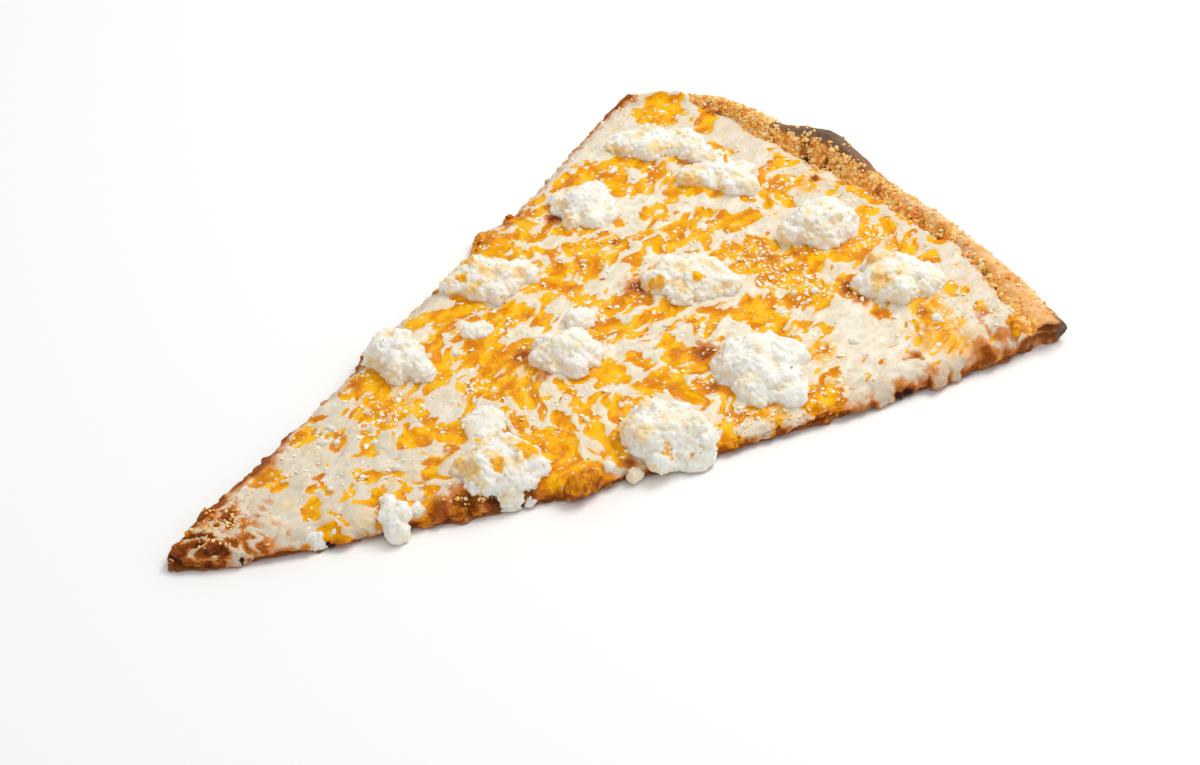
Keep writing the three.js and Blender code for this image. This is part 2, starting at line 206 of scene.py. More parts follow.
# Strands and pools of melted cheddar: a width, then the places that the strand runs through.
SHREDS = (
    # the point
    (5, (34.5, 8.3), (38.5, 8.3)), (1.6, (35.2, 7), (35, 3.8)), (1.8, (37.3, 7), (37.2, 4)),
    (4, (49.5, 14.5), (54, 14.5)), (3, (57.5, 9.5), (55, 6)), (3, (61.5, 4), (59, 0)), (2.5, (41, -2.5)),
    (1.2, (45, 0), (42.5, -6)), (3.3, (39.5, -5), (35.5, -8.5)), (4.7, (53, -6.2), (53, -6.8)),
    (1.5, (55, -8), (58.5, -9), (56.5, -16.5)), (2, (53.5, -14), (54, -20)), (1, (48.5, -6.8), (46, -8.5)),
    (5, (35.5, -14.8), (35.5, -19)), (1, (39.5, -11), (40, -16)), (1.8, (51, -12), (46, -20)),
    (2, (60, -20.5), (55, -25)), (2.8, (68.5, -12), (62.5, -15.5)),
    # near side, as far as the middle
    (5, (67.5, -3.5), (73.5, -3.5)), (6, (75.5, -7), (76.5, -7)), (2.6, (71.5, -12)), (2, (76.5, -11)),
    (1.5, (87, 0), (85.5, -4)), (2.5, (91, 0), (93, -5)),
    (2.8, (90, -11), (88, -14), (86.5, -18), (85.5, -25)),
    (1.5, (90.5, -12), (90.5, -18)), (3, (86, -24), (80, -28)), (7, (91, -23.5), (91, -24.5)),
    (6, (97.5, -7.5), (97.5, -10.5)), (2.5, (97, -16), (97.5, -24)), (7, (92, -27), (80, -38)),
    (8, (81, -41), (90, -40)), (2, (102, -1), (101.5, -7)), (1.5, (106, 0), (105.5, -3)),
    (1.2, (106.5, -10), (107, -15), (104, -20)), (3, (105, -19), (103, -23), (100, -30)),
    (2, (104, -20.5), (110, -21), (109.5, -26), (107, -31), (103, -34), (98, -40)),
    (3, (111, -12), (121, -12)), (6, (117.5, -16), (118.5, -16)), (2, (118.5, -17), (120, -25), (118.5, -28)),
    (1, (112, -17.5), (114.5, -17.5)), (1, (112, -24), (115, -27)), (2, (100, -32), (99, -37)),
    (5, (119, -52), (121, -52)),
    # far side, as far as the middle
    (11, (73.5, 19), (74.5, 19)), (11, (70, 8.5), (70, 9.5)), (3, (78, 6), (75, 1)),
    (7, (80, 17.5), (77, 20)), (2, (87.5, 32), (87.5, 33)), (1.5, (92, 32)),
    (3, (97, 23), (92, 20), (90.5, 12), (88, 9)),
    (11, (101, 5.5), (101, 10.5)), (7, (99, 4), (99, -3)), (4, (97.5, 31.5), (102.5, 31.5)),
    (4, (105, 30), (102, 25)), (6, (110.5, 28), (113.5, 28)), (2, (107, 28), (110, 24)),
    (3, (102, 20), (105, 15), (110, 14)), (8, (113.5, 18), (118.5, 18)), (4, (121, 11), (122, 11)),
    (1.2, (121.5, 38)), (1.2, (125.5, 38)), (7, (109, 5), (111, 5)), (6, (91, 1), (91, 2)),
    # near side, past the middle
    (4, (132, -7), (136, -7)), (2.8, (138, -5.5), (150, -7.5)), (3.5, (126.5, -15.2), (126.5, -18.8)),
    (8, (124.5, -26), (125.5, -26)), (10, (135, -23), (135, -25)), (2, (137.5, -15), (136, -19)),
    (3, (147, -13), (147, -15)), (1, (151, -12), (154, -14)), (3, (145, -19), (153, -17)),
    (6, (158.5, -21), (165.5, -21)), (3.5, (162, -26), (162, -28)),
    (2.8, (157, -25), (158, -35), (157, -41)), (2, (165, -32), (165, -34)), (1.5, (167.5, -37), (167.5, -40)),
    (2.8, (125, -30), (126, -39)), (6, (131, -33.5), (131, -34.5)), (2, (133, -39), (126, -48)),
    (4, (132, -48.5), (132, -49.5)), (8, (146, -56), (148, -56)), (2, (156, -51.5), (156, -52.5)),
    (8, (175, -14), (175, -16)), (2, (170, -26), (173, -24)), (6, (175, -25), (175, -29)),
    # far side, past the middle
    (5, (131.5, 43.5), (142.5, 43.5)), (3, (146.5, 43.5), (146.5, 48.5)), (5, (131, 48), (137, 50)),
    (3.5, (131.5, 40), (134, 33)), (2, (134, 33), (133.5, 28)), (3, (137, 35), (137, 37)),
    (3, (143.5, 39), (144.5, 39)), (2.5, (151, 51), (152, 48), (156, 46.5)), (2, (155.5, 53), (158.5, 53)),
    (3.6, (151, 37)), (2, (163, 41), (162, 36)), (6, (158.5, 33), (159.5, 33)), (1, (141, 35), (143, 30)),
    (6, (148, 28), (152, 28)), (7, (144.5, 21.5), (149.5, 21.5)), (2.5, (144, 20), (142, 17)),
    (2.5, (139, 27)),
    (5, (132, 22.5), (132, 23.5)), (2.5, (132, 23), (137, 23.5), (145, 24)), (3, (127.5, 18), (128.5, 18)),
    (5, (135, 11), (135, 17)), (3, (135, 11), (136, 7)), (4.5, (157.5, 23), (157.5, 26)),
    (1.4, (163.5, 28.5)), (5, (165, 19), (165, 21)), (4, (169, 13), (169, 15)), (4, (164, 13), (164, 14)),
    (4, (171, 18), (183, 18)),
    (1.5, (170.5, 26.5), (174, 29), (177.5, 27.5)), (1.5, (173, 24), (177, 24)), (6, (168, 53), (169, 53)),
    (2.5, (168.5, 53), (175, 51)), (1.8, (167.5, 47)), (3, (174, 40.5), (174, 41.5)), (1.4, (175, 57)),
    (1.4, (178, 56)), (1.6, (155, 15), (151, 10)), (5, (140.5, 3), (143.5, 3)), (6, (127, -1), (131, -1)),
    (3, (134, 3), (131, -2)), (2, (170, 1.5), (172, 1.5)), (1.4, (173, 7), (172, 5)),
    (4, (174, 11), (176, 11)), (8, (173.5, -5), (174.5, -5)),
    # towards the rim
    (10, (175, -15), (185, -15)), (7, (193.5, -20), (196.5, -20)), (2.5, (200, -17), (208, -18)),
    (2.5, (203, -22), (210, -21), (213, -17)), (3, (213, -11), (205, -16)), (3, (205, -27.5), (205, -28.5)),
    (2.5, (210.8, -27), (212.2, -27)), (3, (207, -31.5), (208, -31.5)), (3.5, (207, -36.2), (207, -37.8)),
    (2, (214.5, -32), (214.5, -34)), (1.4, (217, -18.5), (217, -23.5)), (7, (185, -31), (185, -33)),
    (3, (181.5, -41.5), (181.5, -44.5)), (8, (177, -24), (177, -26)), (3, (191, -46), (193, -46)),
    (3, (200.5, -46), (200.5, -51)), (3, (188.5, -50), (188.5, -52)), (1.6, (193, -58.5)), (1.6, (200, -59)),
    (10.5, (207.5, 60), (210, 61)), (3, (213, 50)), (3, (211, 46), (218, 50), (223, 54)),
    (2.5, (207.5, 34), (207.5, 38)), (7, (196.5, 42), (197.5, 42)), (2.5, (197, 40), (202, 38.5)),
    (4, (183, 50), (189, 46)), (5, (188, 41), (188, 43)), (3, (179.5, 38), (188.5, 38)),
    (2, (185, 35), (180, 35)), (1.6, (181, 28), (184, 30.5), (187, 28.5), (185, 26)),
    (2.5, (189, 27), (191, 20)), (3, (172, 52), (180, 52)),
    (6, (178, 45.5), (178, 46.5)), (3, (181, 12), (185, 12)), (5, (184.5, 8), (189.5, 8)),
    (5, (197.5, 10), (197.5, 14)), (3, (200, 15), (205, 20), (212, 21), (217, 17)), (7, (206, 12), (208, 12)),
    (2, (202, 8)), (2, (201, 5)), (2.5, (218.5, 2), (217.5, -11)), (3, (213, -0.5), (213, 0.5)),
    (10, (180, -5), (180, -7)),
)

# Places where the mozzarella lies clear of flecks: along, across, radius and strength.
CALM = (
    (20, 0, 22, 1), (48, 3, 12, 0.5), (58, -3, 7, 0.4), (124, -17, 7, 0.5), (92, -4, 5, 0.5),
    (172, -44, 11, 0.9), (200, -60, 14, 0.8), (215, -35, 12, 0.7), (213, 32, 10, 0.9), (216, -5, 6, 0.6),
    (170, 33, 8, 0.7), (188, 60, 12, 0.9), (206, 48, 5, 0.5), (183, 24, 6, 0.6), (150, 8, 7, 0.6),
    (65, 24, 6, 0.8), (122, 2, 6, 0.4), (190, 2, 5, 0.5), (205, -35, 8, 0.6), (165, -62, 8, 0.5),
    (97, -42, 3, 1), (101, -24, 6, 1), (94, -18, 4, 0.5), (141, -61, 5, 0.7), (46, 8, 4, 0.7),
    (65, -10, 5, 0.7), (72, -16, 4, 0.6), (37, -3, 5, 0.8), (56, -21, 4, 0.7), (172, 53, 6, 1.1),
    (218, -18, 6, 1.2), (211, -11, 4, 0.6), (198, -70, 5, 0.8), (111, -13, 4, 0.7), (118, -19, 4, 0.6),
    (144, 52, 3, 0.5),
)

# Places crowded with flecks of cheddar: along, across, radius and strength.
BUSY = (
    (78, 20, 6, 1), (83.5, 12, 5, 0.8), (182, -60, 7, 0.6), (164, -39.5, 5, 1), (159, -31, 5, 0.9),
    (174, -4, 7, 1), (147, -3, 6, 0.8), (152, 17, 5, 0.6), (76, -22, 3, 0.7), (85, -28, 5, 1),
    (203, 56, 5, 0.7), (216, 8, 4, 0.9), (159, 39, 5, 1), (178, -14, 7, 1), (182, -36, 6, 1.2),
    (130, 44, 6, 0.4), (90, 5, 6, 0.4), (50, -15, 3, 0.7), (220, 25, 4, 0.5), (131, 38, 5, 0.6),
    (189, -17, 6, 0.9), (134, 11, 5, 0.7), (141, 5, 6, 1), (169, -22, 5, 0.7), (115, 6, 4, 0.9),
    (129, -7, 4, 0.7), (138, -38, 3, 0.6), (108, -30, 5, 0.9), (127, -49, 5, 1), (209, 45, 4, 0.6),
    (224, 60, 5, 1.1),
)

# Places where the cheese lies in folds: along, across, radius and strength.
FOLDED = (
    (198, -66, 8, 1), (190, -66, 8, 1), (172, -62, 8, 1), (158, -58, 6, 0.7), (60, -18, 7, 0.5),
    (112, -50, 6, 0.6), (145, -56, 6, 0.6), (70, -30, 6, 0.8), (183, -58, 8, 0.7),
)

# Places speckled with fine orange: along, across, radius and strength.
SPECKLED = (
    (183, -60, 7, 1.05), (188, -56, 6, 1), (193, -49, 5, 1), (185, -64, 5, 1), (160, -43, 5, 0.9),
    (178, -18, 8, 0.9), (176, -25, 6, 1), (207, -28, 5, 0.8), (72, 8, 6, 0.95), (200, -50, 4, 0.9),
    (150, -54, 5, 0.9), (135, -50, 5, 0.95), (210, 8, 5, 0.8), (104, 0, 5, 0.8),
)

# Soft pale-orange stains in the mozzarella: along, across, radius and strength.
BLUSH = (
    (34, -3, 2, 0.7), (27.5, -4.5, 2, 0.6), (57, -13, 3.5, 0.9), (37, -9, 4, 0.7), (113, -30, 4, 0.7),
    (91, -24, 5, 0.9), (97, -11, 3, 0.9), (121, 42, 2.5, 0.7), (160, -44, 6, 0.8), (182, -60, 6, 0.9),
    (187, -62, 7, 0.9), (207, 12, 6, 0.6), (180, -6, 7, 0.7), (70, 9, 6, 0.6),
    (175, -15, 7, 0.7), (177, -25, 7, 0.7), (52, 12, 5, 0.7), (61, -24, 4, 0.7), (45, -18, 4, 0.6),
    (147, -56, 7, 0.8), (205, -30, 5, 0.4), (102, -29, 8, 0.6), (215, 10, 4, 0.6), (143, 31, 2, 0.5),
)

# Browned places on the cheese: along, across, radius and strength. Those beside ricotta lumps, on their sides
# away from the key light, are painted shadow as well as browning.
FRIED_AND_SHADOW_SPOTS = (
    (57.5, 9, 2.5, 0.6), (35.5, -19, 2.6, 0.6), (51, -16, 2, 0.45), (71.5, -12, 2, 0.5), (72, 23, 2.5, 0.6),
    (81, 18, 3, 0.55), (103.5, -35, 3, 0.6), (108, 3.5, 3.6, 1), (106, -6, 2.6, 0.75), (140, -25, 4.4, 0.98),
    (140, -31, 3.4, 1.02), (131, -36, 3.5, 0.7), (147, -14, 2, 0.6), (143.5, 14, 0.9, 1),
    (157.5, 24.5, 1.8, 0.95), (153.6, 42, 2.6, 1.3), (148, 5.5, 4.6, 1), (150.5, 1.5, 3.4, 0.95),
    (185, -31, 4, 1.05), (183, -36, 3.5, 0.8),
    (181.5, -43, 2.5, 0.8), (188.5, -51, 2.2, 0.8), (196, 36.5, 2.4, 0.9), (191, 21, 2, 0.6),
    (214.5, 8, 1.5, 1.05), (180, -8, 2.6, 0.8), (186, -12, 2, 0.7), (134, 49, 4, 0.65), (144, 50, 3, 0.8),
    (150, 52, 2.4, 0.8), (86, -42, 5, 0.62), (58, -25.5, 4, 1), (63.5, -28, 4.5, 1.25),
    (69, -31, 4.5, 1.2), (75, -34.5, 4, 1.1), (120, -53, 4, 0.55), (127, -56, 3, 0.8), (139, -60, 4, 0.7),
    (147, -61, 4, 0.7), (173, -67, 4, 0.5), (188.5, -70.5, 3.6, 1), (195, -70, 3, 0.7), (44, 0.5, 1, 0.6),
    (57, -22, 3, 0.5), (99, -42, 2, 0.9),
)

# Drifts of fine grated cheese: along, across, radius and strength.
DRIFTS = (
    (70, 9, 6, 0.9), (91, 1.5, 5, 0.9), (103, -13, 5, 0.6), (122, -3, 6, 0.8), (160, -44, 7, 0.9),
    (175, -15, 8, 0.9), (177, -25, 7, 0.8), (174, -5, 6, 0.8), (180, -6, 8, 0.8), (207, 12, 7, 0.8),
    (112, 14, 6, 0.6), (133, 10, 7, 0.7), (145, -18, 8, 0.6), (90, -14, 7, 0.6), (213, 55, 8, 0.8),
    (130, -50, 7, 0.9), (152, -52, 7, 0.7), (195, -55, 8, 0.5), (46, 4, 6, 0.5), (203, -20, 7, 0.7),
    (62, 5, 4, 0.7), (56, 12, 4, 0.6), (78, 25, 8, 0.5), (184, 40, 9, 0.35), (150, 25, 9, 0.35),
)

# Beds of toasted crumbs on the cheese: along, across, radius and strength.
CRUMB_BEDS = (
    (62.5, -26.5, 2.2, 0.9), (68, -29.5, 2.4, 0.7), (20, 1, 6, 0.6), (126, -53, 5, 0.35), (136, -57, 5, 0.4),
    (143, -59, 4, 0.3), (190, -14, 4, 0.12), (98, -46, 2.5, 0.5), (150, 0, 5, 0.06),
)
RIM_CRUMBS = 0.75  # share of the rim's crumb places that hold a crumb where they lie thick

# Brown spots on the rim: along, across, radius and strength.
RIM_SPOTS = (
    (221, 60, 2, 0.9), (222, 54, 1.8, 0.8), (218, 39, 1.6, 0.8), (218, 28, 2, 0.8), (219, 22, 1.8, 0.8),
    (222, 19, 2, 0.9), (221, 12, 2, 0.8), (229, 2, 2.2, 1), (228, -4, 1.8, 0.8), (222, -8, 2, 0.7),
    (225, -18, 1.8, 0.7), (217, -32, 2.2, 0.8), (213, -44, 2, 0.8), (212, -51, 2.2, 0.7), (201, -69, 3, 0.9),
)

# Tongues of cheese on the rim: angle and spread in degrees, and reach in millimetres, below
# zero where the cheese falls short.
CHEESE_TONGUES = ((2.5, 2.2, -1.3), (-12, 3, 0.8), (-19, 2, -1), (9.5, 1.5, -1.2), (5, 2, -1), (-6, 1.2, -1))

# Where the melted cheese stops higher or lower on a cut: radius, spread and how much higher.
NEAR_BARE = (
    (19, 7, -0.8), (26, 4.5, 1.5), (37, 2, 0.5), (53, 5, 1.2), (71, 6, 1.2), (102, 4, 0.9),
    (131, 6, 0.8), (150, 8, 0.9), (158, 4, 1.5), (178, 5, -0.5), (196, 4, -0.8), (205, 5, 1.4),
)
FAR_BARE = ((28, 8, 0.9), (48, 8, 0.8), (88, 6, 1), (112, 10, 0.6), (160, 14, 0.5), (205, 12, 0.9))

# Stretches of the far cut where brown crust shows: radius, spread and strength.
FAR_BROWN = ((14, 20, 0.8), (44, 9, 0.8), (87, 6, 0.5), (143, 9, 0.2), (222, 14, 1.1), (196, 10, 0.3))

# Crumbs of crust that stick out of the near cut: radius, spread and how far they stand out.
NEAR_NUBS = (
    (13, 1.4, 0.8), (36, 1.3, 1.4), (61, 2, 0.8), (68, 2.2, 1.6), (76, 1.5, 0.8), (158, 2, 1), (188, 3, 0.6),
)

# Small crumbs of ricotta. Where z is None they lie on the cheese.
BITS = (
    Bit(32.8, -14.0, 5.4, 3.4, 1.9, -45, 0.1, None, ((0, 0.2, 30),)),
    Bit(36.2, -15.6, 2.8, 2.2, 1.5, 20, 0.1, None, ()),
    Bit(54.0, -22.2, 4.6, 3.6, 2.6, 0, 0.2, 3.2, ()),
    Bit(48.6, -27.0, 3.4, 3.0, 2.2, -60, 0.1, 1.0, ()),
    Bit(71.5, -33.6, 6.0, 3.6, 2.6, -30, 0.1, 2.2, ((-60, 0.3, 25),)),
    Bit(75.2, -35.2, 5.0, 3.2, 2.4, 40, 0.1, 1.8, ()),
    Bit(72.8, -36.2, 3.2, 2.2, 2.0, -40, 0.1, 0.9, ()),
    Bit(78.8, -38.8, 3.4, 2.4, 2.2, -30, 0.2, 1.6, ()),
    Bit(81.0, -39.6, 2.6, 2.0, 1.8, -30, 0.1, 1.2, ()),
    Bit(98.1, -44.7, 4.8, 4.0, 3.2, 30, 0.85, 2.4, ((0, 0.2, 30),)),
    Bit(94.5, -40.2, 4.2, 2.4, 1.8, 10, 0.2, 3.6, ()),
    Bit(188.8, -55.0, 4.4, 2.6, 1.6, 60, 0.1, None, ()),
    Bit(97.0, 15.0, 2.4, 1.8, 1.3, 0, 0.2, None, ()),
    Bit(53.0, 9.0, 2.8, 1.8, 1.3, -30, 0.1, None, ()),
    Bit(55.5, 7.5, 2.2, 1.7, 1.2, 40, 0.1, None, ()),
    Bit(57.5, 12.0, 3.0, 1.6, 1.2, -70, 0.1, None, ()),
    Bit(62.0, 2.0, 2.0, 1.6, 1.0, 10, 0.1, None, ()),
    Bit(59.0, -9.5, 2.6, 1.8, 1.2, -40, 0.1, None, ()),
    Bit(44.0, -5.0, 2.0, 1.6, 1.0, 0, 0.1, None, ()),
    Bit(102.0, -25.0, 2.4, 1.6, 1.2, 60, 0.3, None, ()),
    Bit(135.0, -36.0, 3.4, 2.6, 1.8, 20, 0.3, None, ()),
    Bit(168.0, -47.0, 3.0, 2.2, 1.3, -40, 0.1, None, ()),
    Bit(177.0, -26.0, 2.6, 2.0, 1.2, 30, 0.1, None, ()),
    Bit(173.0, -23.0, 2.2, 1.6, 1.1, 0, 0.2, None, ()),
)

# Patches of cheddar that lie over the ricotta: along, across, radius and strength.
RICOTTA_STAINS = (
    (80.2, -29.3, 2.8, 1.3), (72.1, -28.5, 2.2, 1), (64, -22, 1.5, 0.7), (105.3, -47.7, 2, 0.7),
    (195, -35, 1.5, 0.7), (156.3, -6.6, 2, 1.2), (149.4, -0.6, 1.3, 1), (148, 1.4, 1.1, 1),
    (154.3, 28.3, 2.6, 1.3), (151.6, 39.5, 1.4, 1), (115.5, 34.1, 1.8, 1), (116.3, 1, 1.2, 0.9),
    (125.3, -1.8, 1.8, 1.2), (197.9, -12, 0.8, 1), (188.6, -48.9, 1.2, 0.9), (201.4, 28.2, 0.9, 0.9),
    (139.8, -30.7, 1.5, 0.9), (145.7, -32.3, 1, 0.8),
)

# Fried nuggets and crisp crumbs; toast says how brown each is.
NUGGETS = (
    Bit(87.4, -39.8, 9.4, 5.4, 4.0, -5, 0.84, 2.4, ((60, 0.15, 30),)),
    Bit(84.0, -39.4, 4.4, 3.0, 2.6, 30, 0.78, 2.4, ()),
    Bit(61.0, -27.4, 4.4, 3.2, 2.2, -60, 0.8, 1.5, ()),
    Bit(66.0, -28.6, 4.6, 3.0, 2.0, -20, 0.9, 2.2, ()),
    Bit(199.6, -69.4, 8.4, 4.0, 2.6, 52, 0.55, 6.0, ()),
    Bit(35.5, -15.8, 2.8, 2.0, 1.8, -20, 1.45, 0.8, ()),
    Bit(135.8, 50.6, 7.0, 3.6, 2.0, 30, 0.6, 2.2, ((60, 0.2, 30),)),
    Bit(146.4, 51.6, 5.4, 3.2, 1.8, 40, 0.7, 2.2, ()),
    Bit(111.6, 39.4, 4.4, 2.8, 1.8, 50, 0.95, 1.8, ()),
)

# Stretches of crisp crumbs along the cuts: radius, spread, number, size and how brown.
CRISP_NEAR = (
    (13, 4, 4, 0.9, 0.9), (67, 5, 22, 1.3, 0.9), (92, 6, 4, 0.9, 0.8), (124, 5, 4, 0.9, 0.8),
    (140, 9, 9, 1.0, 0.8), (158, 7, 6, 0.9, 0.9), (176, 9, 6, 1.0, 0.7), (197, 9, 6, 1.0, 0.6),
)
CRISP_FAR = (
    (20, 6, 5, 1.0, 0.8), (38, 9, 5, 0.9, 0.8), (88, 4, 4, 1.1, 0.75), (146, 6, 14, 1.1, 0.7),
    (205, 10, 3, 0.9, 0.8),
)


# ------------------------------------------------------------------ numbers
def lerp(a, b, t):
    """From a, where t is 0, in a straight line to b, where t is 1."""
    return a + (b - a) * t


def smooth(value, low, high):
    """3t^2 - 2t^3, where t goes from 0 at `low` to 1 at `high`."""
    t = np.clip((value - low) / (high - low), 0, 1)
    return t * t * (3 - 2 * t)


def bump(value, at, spread):
    """A bell of height 1 at `at`: exp(-((value - at) / spread)^2)."""
    return np.exp(-(((value - at) / spread) ** 2))


def hashed(lattice, seed):
    """Repeatable values from 0 to 1 for whole-number lattice places, by mixing their bits."""
    h = np.full(lattice.shape[:-1], (seed * 2654435761 + 97) & 0xFFFFFFFF, np.uint32)
    for k in range(lattice.shape[-1]):
        h = (h ^ lattice[..., k].astype(np.uint32)) * np.uint32(2246822519)
        h ^= h >> np.uint32(13)
    h = h * np.uint32(3266489917)
    h ^= h >> np.uint32(16)
    return h / 4294967296.0


def noise(points, spacing, seed):
    """Smooth noise of about -1 to 1: random slopes at lattice corners, blended by the fade
    6t^5 - 15t^4 + 10t^3. `spacing` is the lattice step in the points' own units."""
    q = points / spacing
    corner = np.floor(q)
    t = q - corner
    corner = corner.astype(np.int64)
    fade = t**3 * (t * (6 * t - 15) + 10)
    dims = q.shape[-1]
    total = np.zeros(q.shape[:-1])
    for offset in np.ndindex(*(2,) * dims):
        offset = np.array(offset)
        weight = np.prod(np.where(offset, fade, 1 - fade), axis=-1)
        slope = np.stack([hashed(corner + offset, seed * 11 + k) for k in range(dims)], -1) * 2 - 1
        total += weight * np.sum(slope * (t - offset), axis=-1)
    return total * 1.7


def fractal(points, spacing, seed, octaves=3, keep=0.5):
    """Noise summed over octaves, each at half the spacing and `keep` times the height."""
    total = 0.0
    for k in range(octaves):
        total = total + keep**k * noise(points, spacing / 2**k, seed + k)
    return total


def cells(points, spacing, seed):
    """Distance to the nearest of one random seed point in each lattice cell, in cells."""
    q = points / spacing
    corner = np.floor(q)
    t = q - corner
    corner = corner.astype(np.int64)
    dims = q.shape[-1]
    best = np.full(q.shape[:-1], 9.0)
    for offset in np.ndindex(*(3,) * dims):
        offset = np.array(offset) - 1
        seeds = np.stack([hashed(corner + offset, seed * 13 + k) for k in range(dims)], -1)
        best = np.minimum(best, np.sum((offset + seeds - t) ** 2, axis=-1))
    return np.sqrt(best)


# ------------------------------------------------------------------ outline of the slice
def edge_offset(r, side):
    """How far the cut stands out past a straight radial line at radius r: a long bow on the
    near side, a few lumps on the far side, and a ragged ripple on both."""
    s = sizes()
    t = np.clip((r - 12) / (s.rim_radius - 8), 0, 1)
    plane = np.stack([r, np.full_like(r, 40.0 * side)], -1)
    ragged = 0.8 * noise(plane, 5, 3) + 0.5 * noise(plane, 2.2, 4)
    if side < 0:
        broken = 2.8 * bump(r, TIP_RADIUS, 5)
        lump = 1.3 * bump(r, NUGGET[0], 7)
        return s.near_bow * np.sin(math.pi * t) + lump - broken + ragged
    lumps = 2.2 * bump(r, 93, 7) + 3.2 * bump(r, 146, 8) + 1.2 * bump(r, 22, 9)
    rounded = 4.0 * smooth(r, 213, 226)
    return 0.9 * np.sin(r / 21) * np.cos(r / 47) + lumps + 0.8 * ragged - rounded


def angle_across(r, v):
    """Angle at radius r of the place v of the way from the near cut, -1, to the far, +1."""
    half = sizes().half_angle
    near = -(half + edge_offset(r, -1) / r)
    far = half + edge_offset(r, 1) / r
    return lerp(near, far, (v + 1) / 2)


def depth_from_cut(r, phi):
    """Distance along the arc from the nearer cut, in millimetres."""
    near = angle_across(r, np.full_like(r, -1.0))
    far = angle_across(r, np.full_like(r, 1.0))
    return r * np.minimum(phi - near, far - phi)


def bubble(phi):
    """How much of the rim's charred bubble is felt at angle phi, 0 to 1."""
    return bump(np.degrees(phi), *BUBBLE)


def rim_radius(phi):
    """Outer radius of the rim."""
    a = np.degrees(phi)
    lean = 1.9 * np.tanh((a + 4) / 5)
    swell = 3.4 * bump(a, 13, 4.2)
    tuck = 3.6 * smooth(a, 15, 20) + 2.5 * smooth(a, 17, 19.7)
    return sizes().rim_radius + lean + 3.2 * bubble(phi) + swell - tuck


def rim_height(phi):
    """Height of the rim's crest."""
    a = np.degrees(phi)
    low = 1.4 * smooth(-a, 11, 19) + 1.2 * smooth(a, 13, 17)
    return sizes().rim_height + 4.0 * bubble(phi) - low + 0.35 * np.sin(phi * 41)


def rim_foot(phi):
    """Radius at which the bare rim begins."""
    a = np.degrees(phi)
    inward = sizes().rim_band + 3.4 * bump(a, 3.8, 3.2) + 4.5 * smooth(-a, 11, 19) - 1.7 * bump(a, 10.5, 3.2)
    return rim_radius(phi) - inward + 0.8 * np.sin(phi * 33)


def plan(r, phi):
    """Plan place of a radius and an angle, as along and across, in millimetres."""
    return np.stack([r * np.cos(phi), r * np.sin(phi)], -1)


# ------------------------------------------------------------------ heights
def base_top(r, phi):
    """Top of the crust under the cheese, thicker towards the rim."""
    s = sizes()
    heel = np.clip((r - s.heel_start) / (rim_foot(phi) - s.heel_start), 0, 1)
    return s.base_thickness + s.heel_rise * heel**1.3


def crust_top(r, phi):
    """Top of the crust: the base, a smooth rise to the rim's crest, and a quarter ellipse
    down to the rim's waist."""
    foot, height = rim_foot(phi), rim_height(phi)
    q = np.clip((r - foot) / (rim_radius(phi) - foot), 0, 1)
    base = base_top(np.minimum(r, foot), phi)
    height = np.maximum(height, base)
    fall = np.sqrt(1 - (np.clip(q - CREST, 0, 1) / (1 - CREST)) ** 2)
    rise = lerp(base, height, smooth(q, 0, CREST))
    return np.where(q < CREST, rise, lerp(WAIST * height, height, fall))


# ------------------------------------------------------------------ meshes
def add_piece(name, points, faces, replaced=(), attributes=None, material=None, shade=True):
    """A mesh object at the origin from points in millimetres, riding on the slice."""
    mesh = bpy.data.meshes.new(name)
    faces = np.asarray(faces)
    mesh.vertices.add(len(points))
    mesh.vertices.foreach_set("co", (np.asarray(points) * MM).astype(np.float32).ravel())
    corners = faces.shape[1]
    mesh.loops.add(faces.size)
    mesh.loops.foreach_set("vertex_index", faces.astype(np.int32).ravel())
    mesh.polygons.add(len(faces))
    mesh.polygons.foreach_set("loop_start", np.arange(0, faces.size, corners, dtype=np.int32))
    mesh.polygons.foreach_set("use_smooth", np.full(len(faces), shade))
    mesh.update(calc_edges=True)
    for key, values in (attributes or {}).items():
        values = np.asarray(values, np.float32)
        kind, field = ("FLOAT", "value") if values.ndim == 1 else ("FLOAT_VECTOR", "vector")
        mesh.attributes.new(key, kind, "POINT").data.foreach_set(field, values.ravel())
    piece = bpy.data.objects.new(name, mesh)
    bpy.context.scene.collection.objects.link(piece)
    if material:
        mesh.materials.append(material)
    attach(piece, "root")
    if replaced:
        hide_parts(*replaced)
    return piece


def grid_faces(rows, columns, start=0):
    """Pairs of triangles of a (rows + 1) by (columns + 1) grid of points."""
    i, j = np.meshgrid(np.arange(rows), np.arange(columns), indexing="ij")
    a = (start + i * (columns + 1) + j).ravel()
    b, c, d = a + columns + 1, a + columns + 2, a + 1
    return np.concatenate([np.stack([a, b, c], -1), np.stack([a, c, d], -1)])


def loop_of(rows, columns):
    """Indices of a grid's border: near side, rim end, far side, tip end, one way round."""
    stride = columns + 1
    near = np.arange(rows) * stride
    rim = rows * stride + np.arange(columns)
    far = rows * stride + columns - np.arange(rows) * stride
    tip = columns - np.arange(columns)
    return np.concatenate([near, rim, far, tip])


def outward(loop):
    """Outward unit normals in plan of a closed loop that runs anticlockwise."""
    tangent = np.roll(loop, -1, axis=0)[:, :2] - np.roll(loop, 1, axis=0)[:, :2]
    normal = np.stack([tangent[:, 1], -tangent[:, 0]], -1)
    return normal / np.maximum(np.linalg.norm(normal, axis=1, keepdims=True), 1e-9)


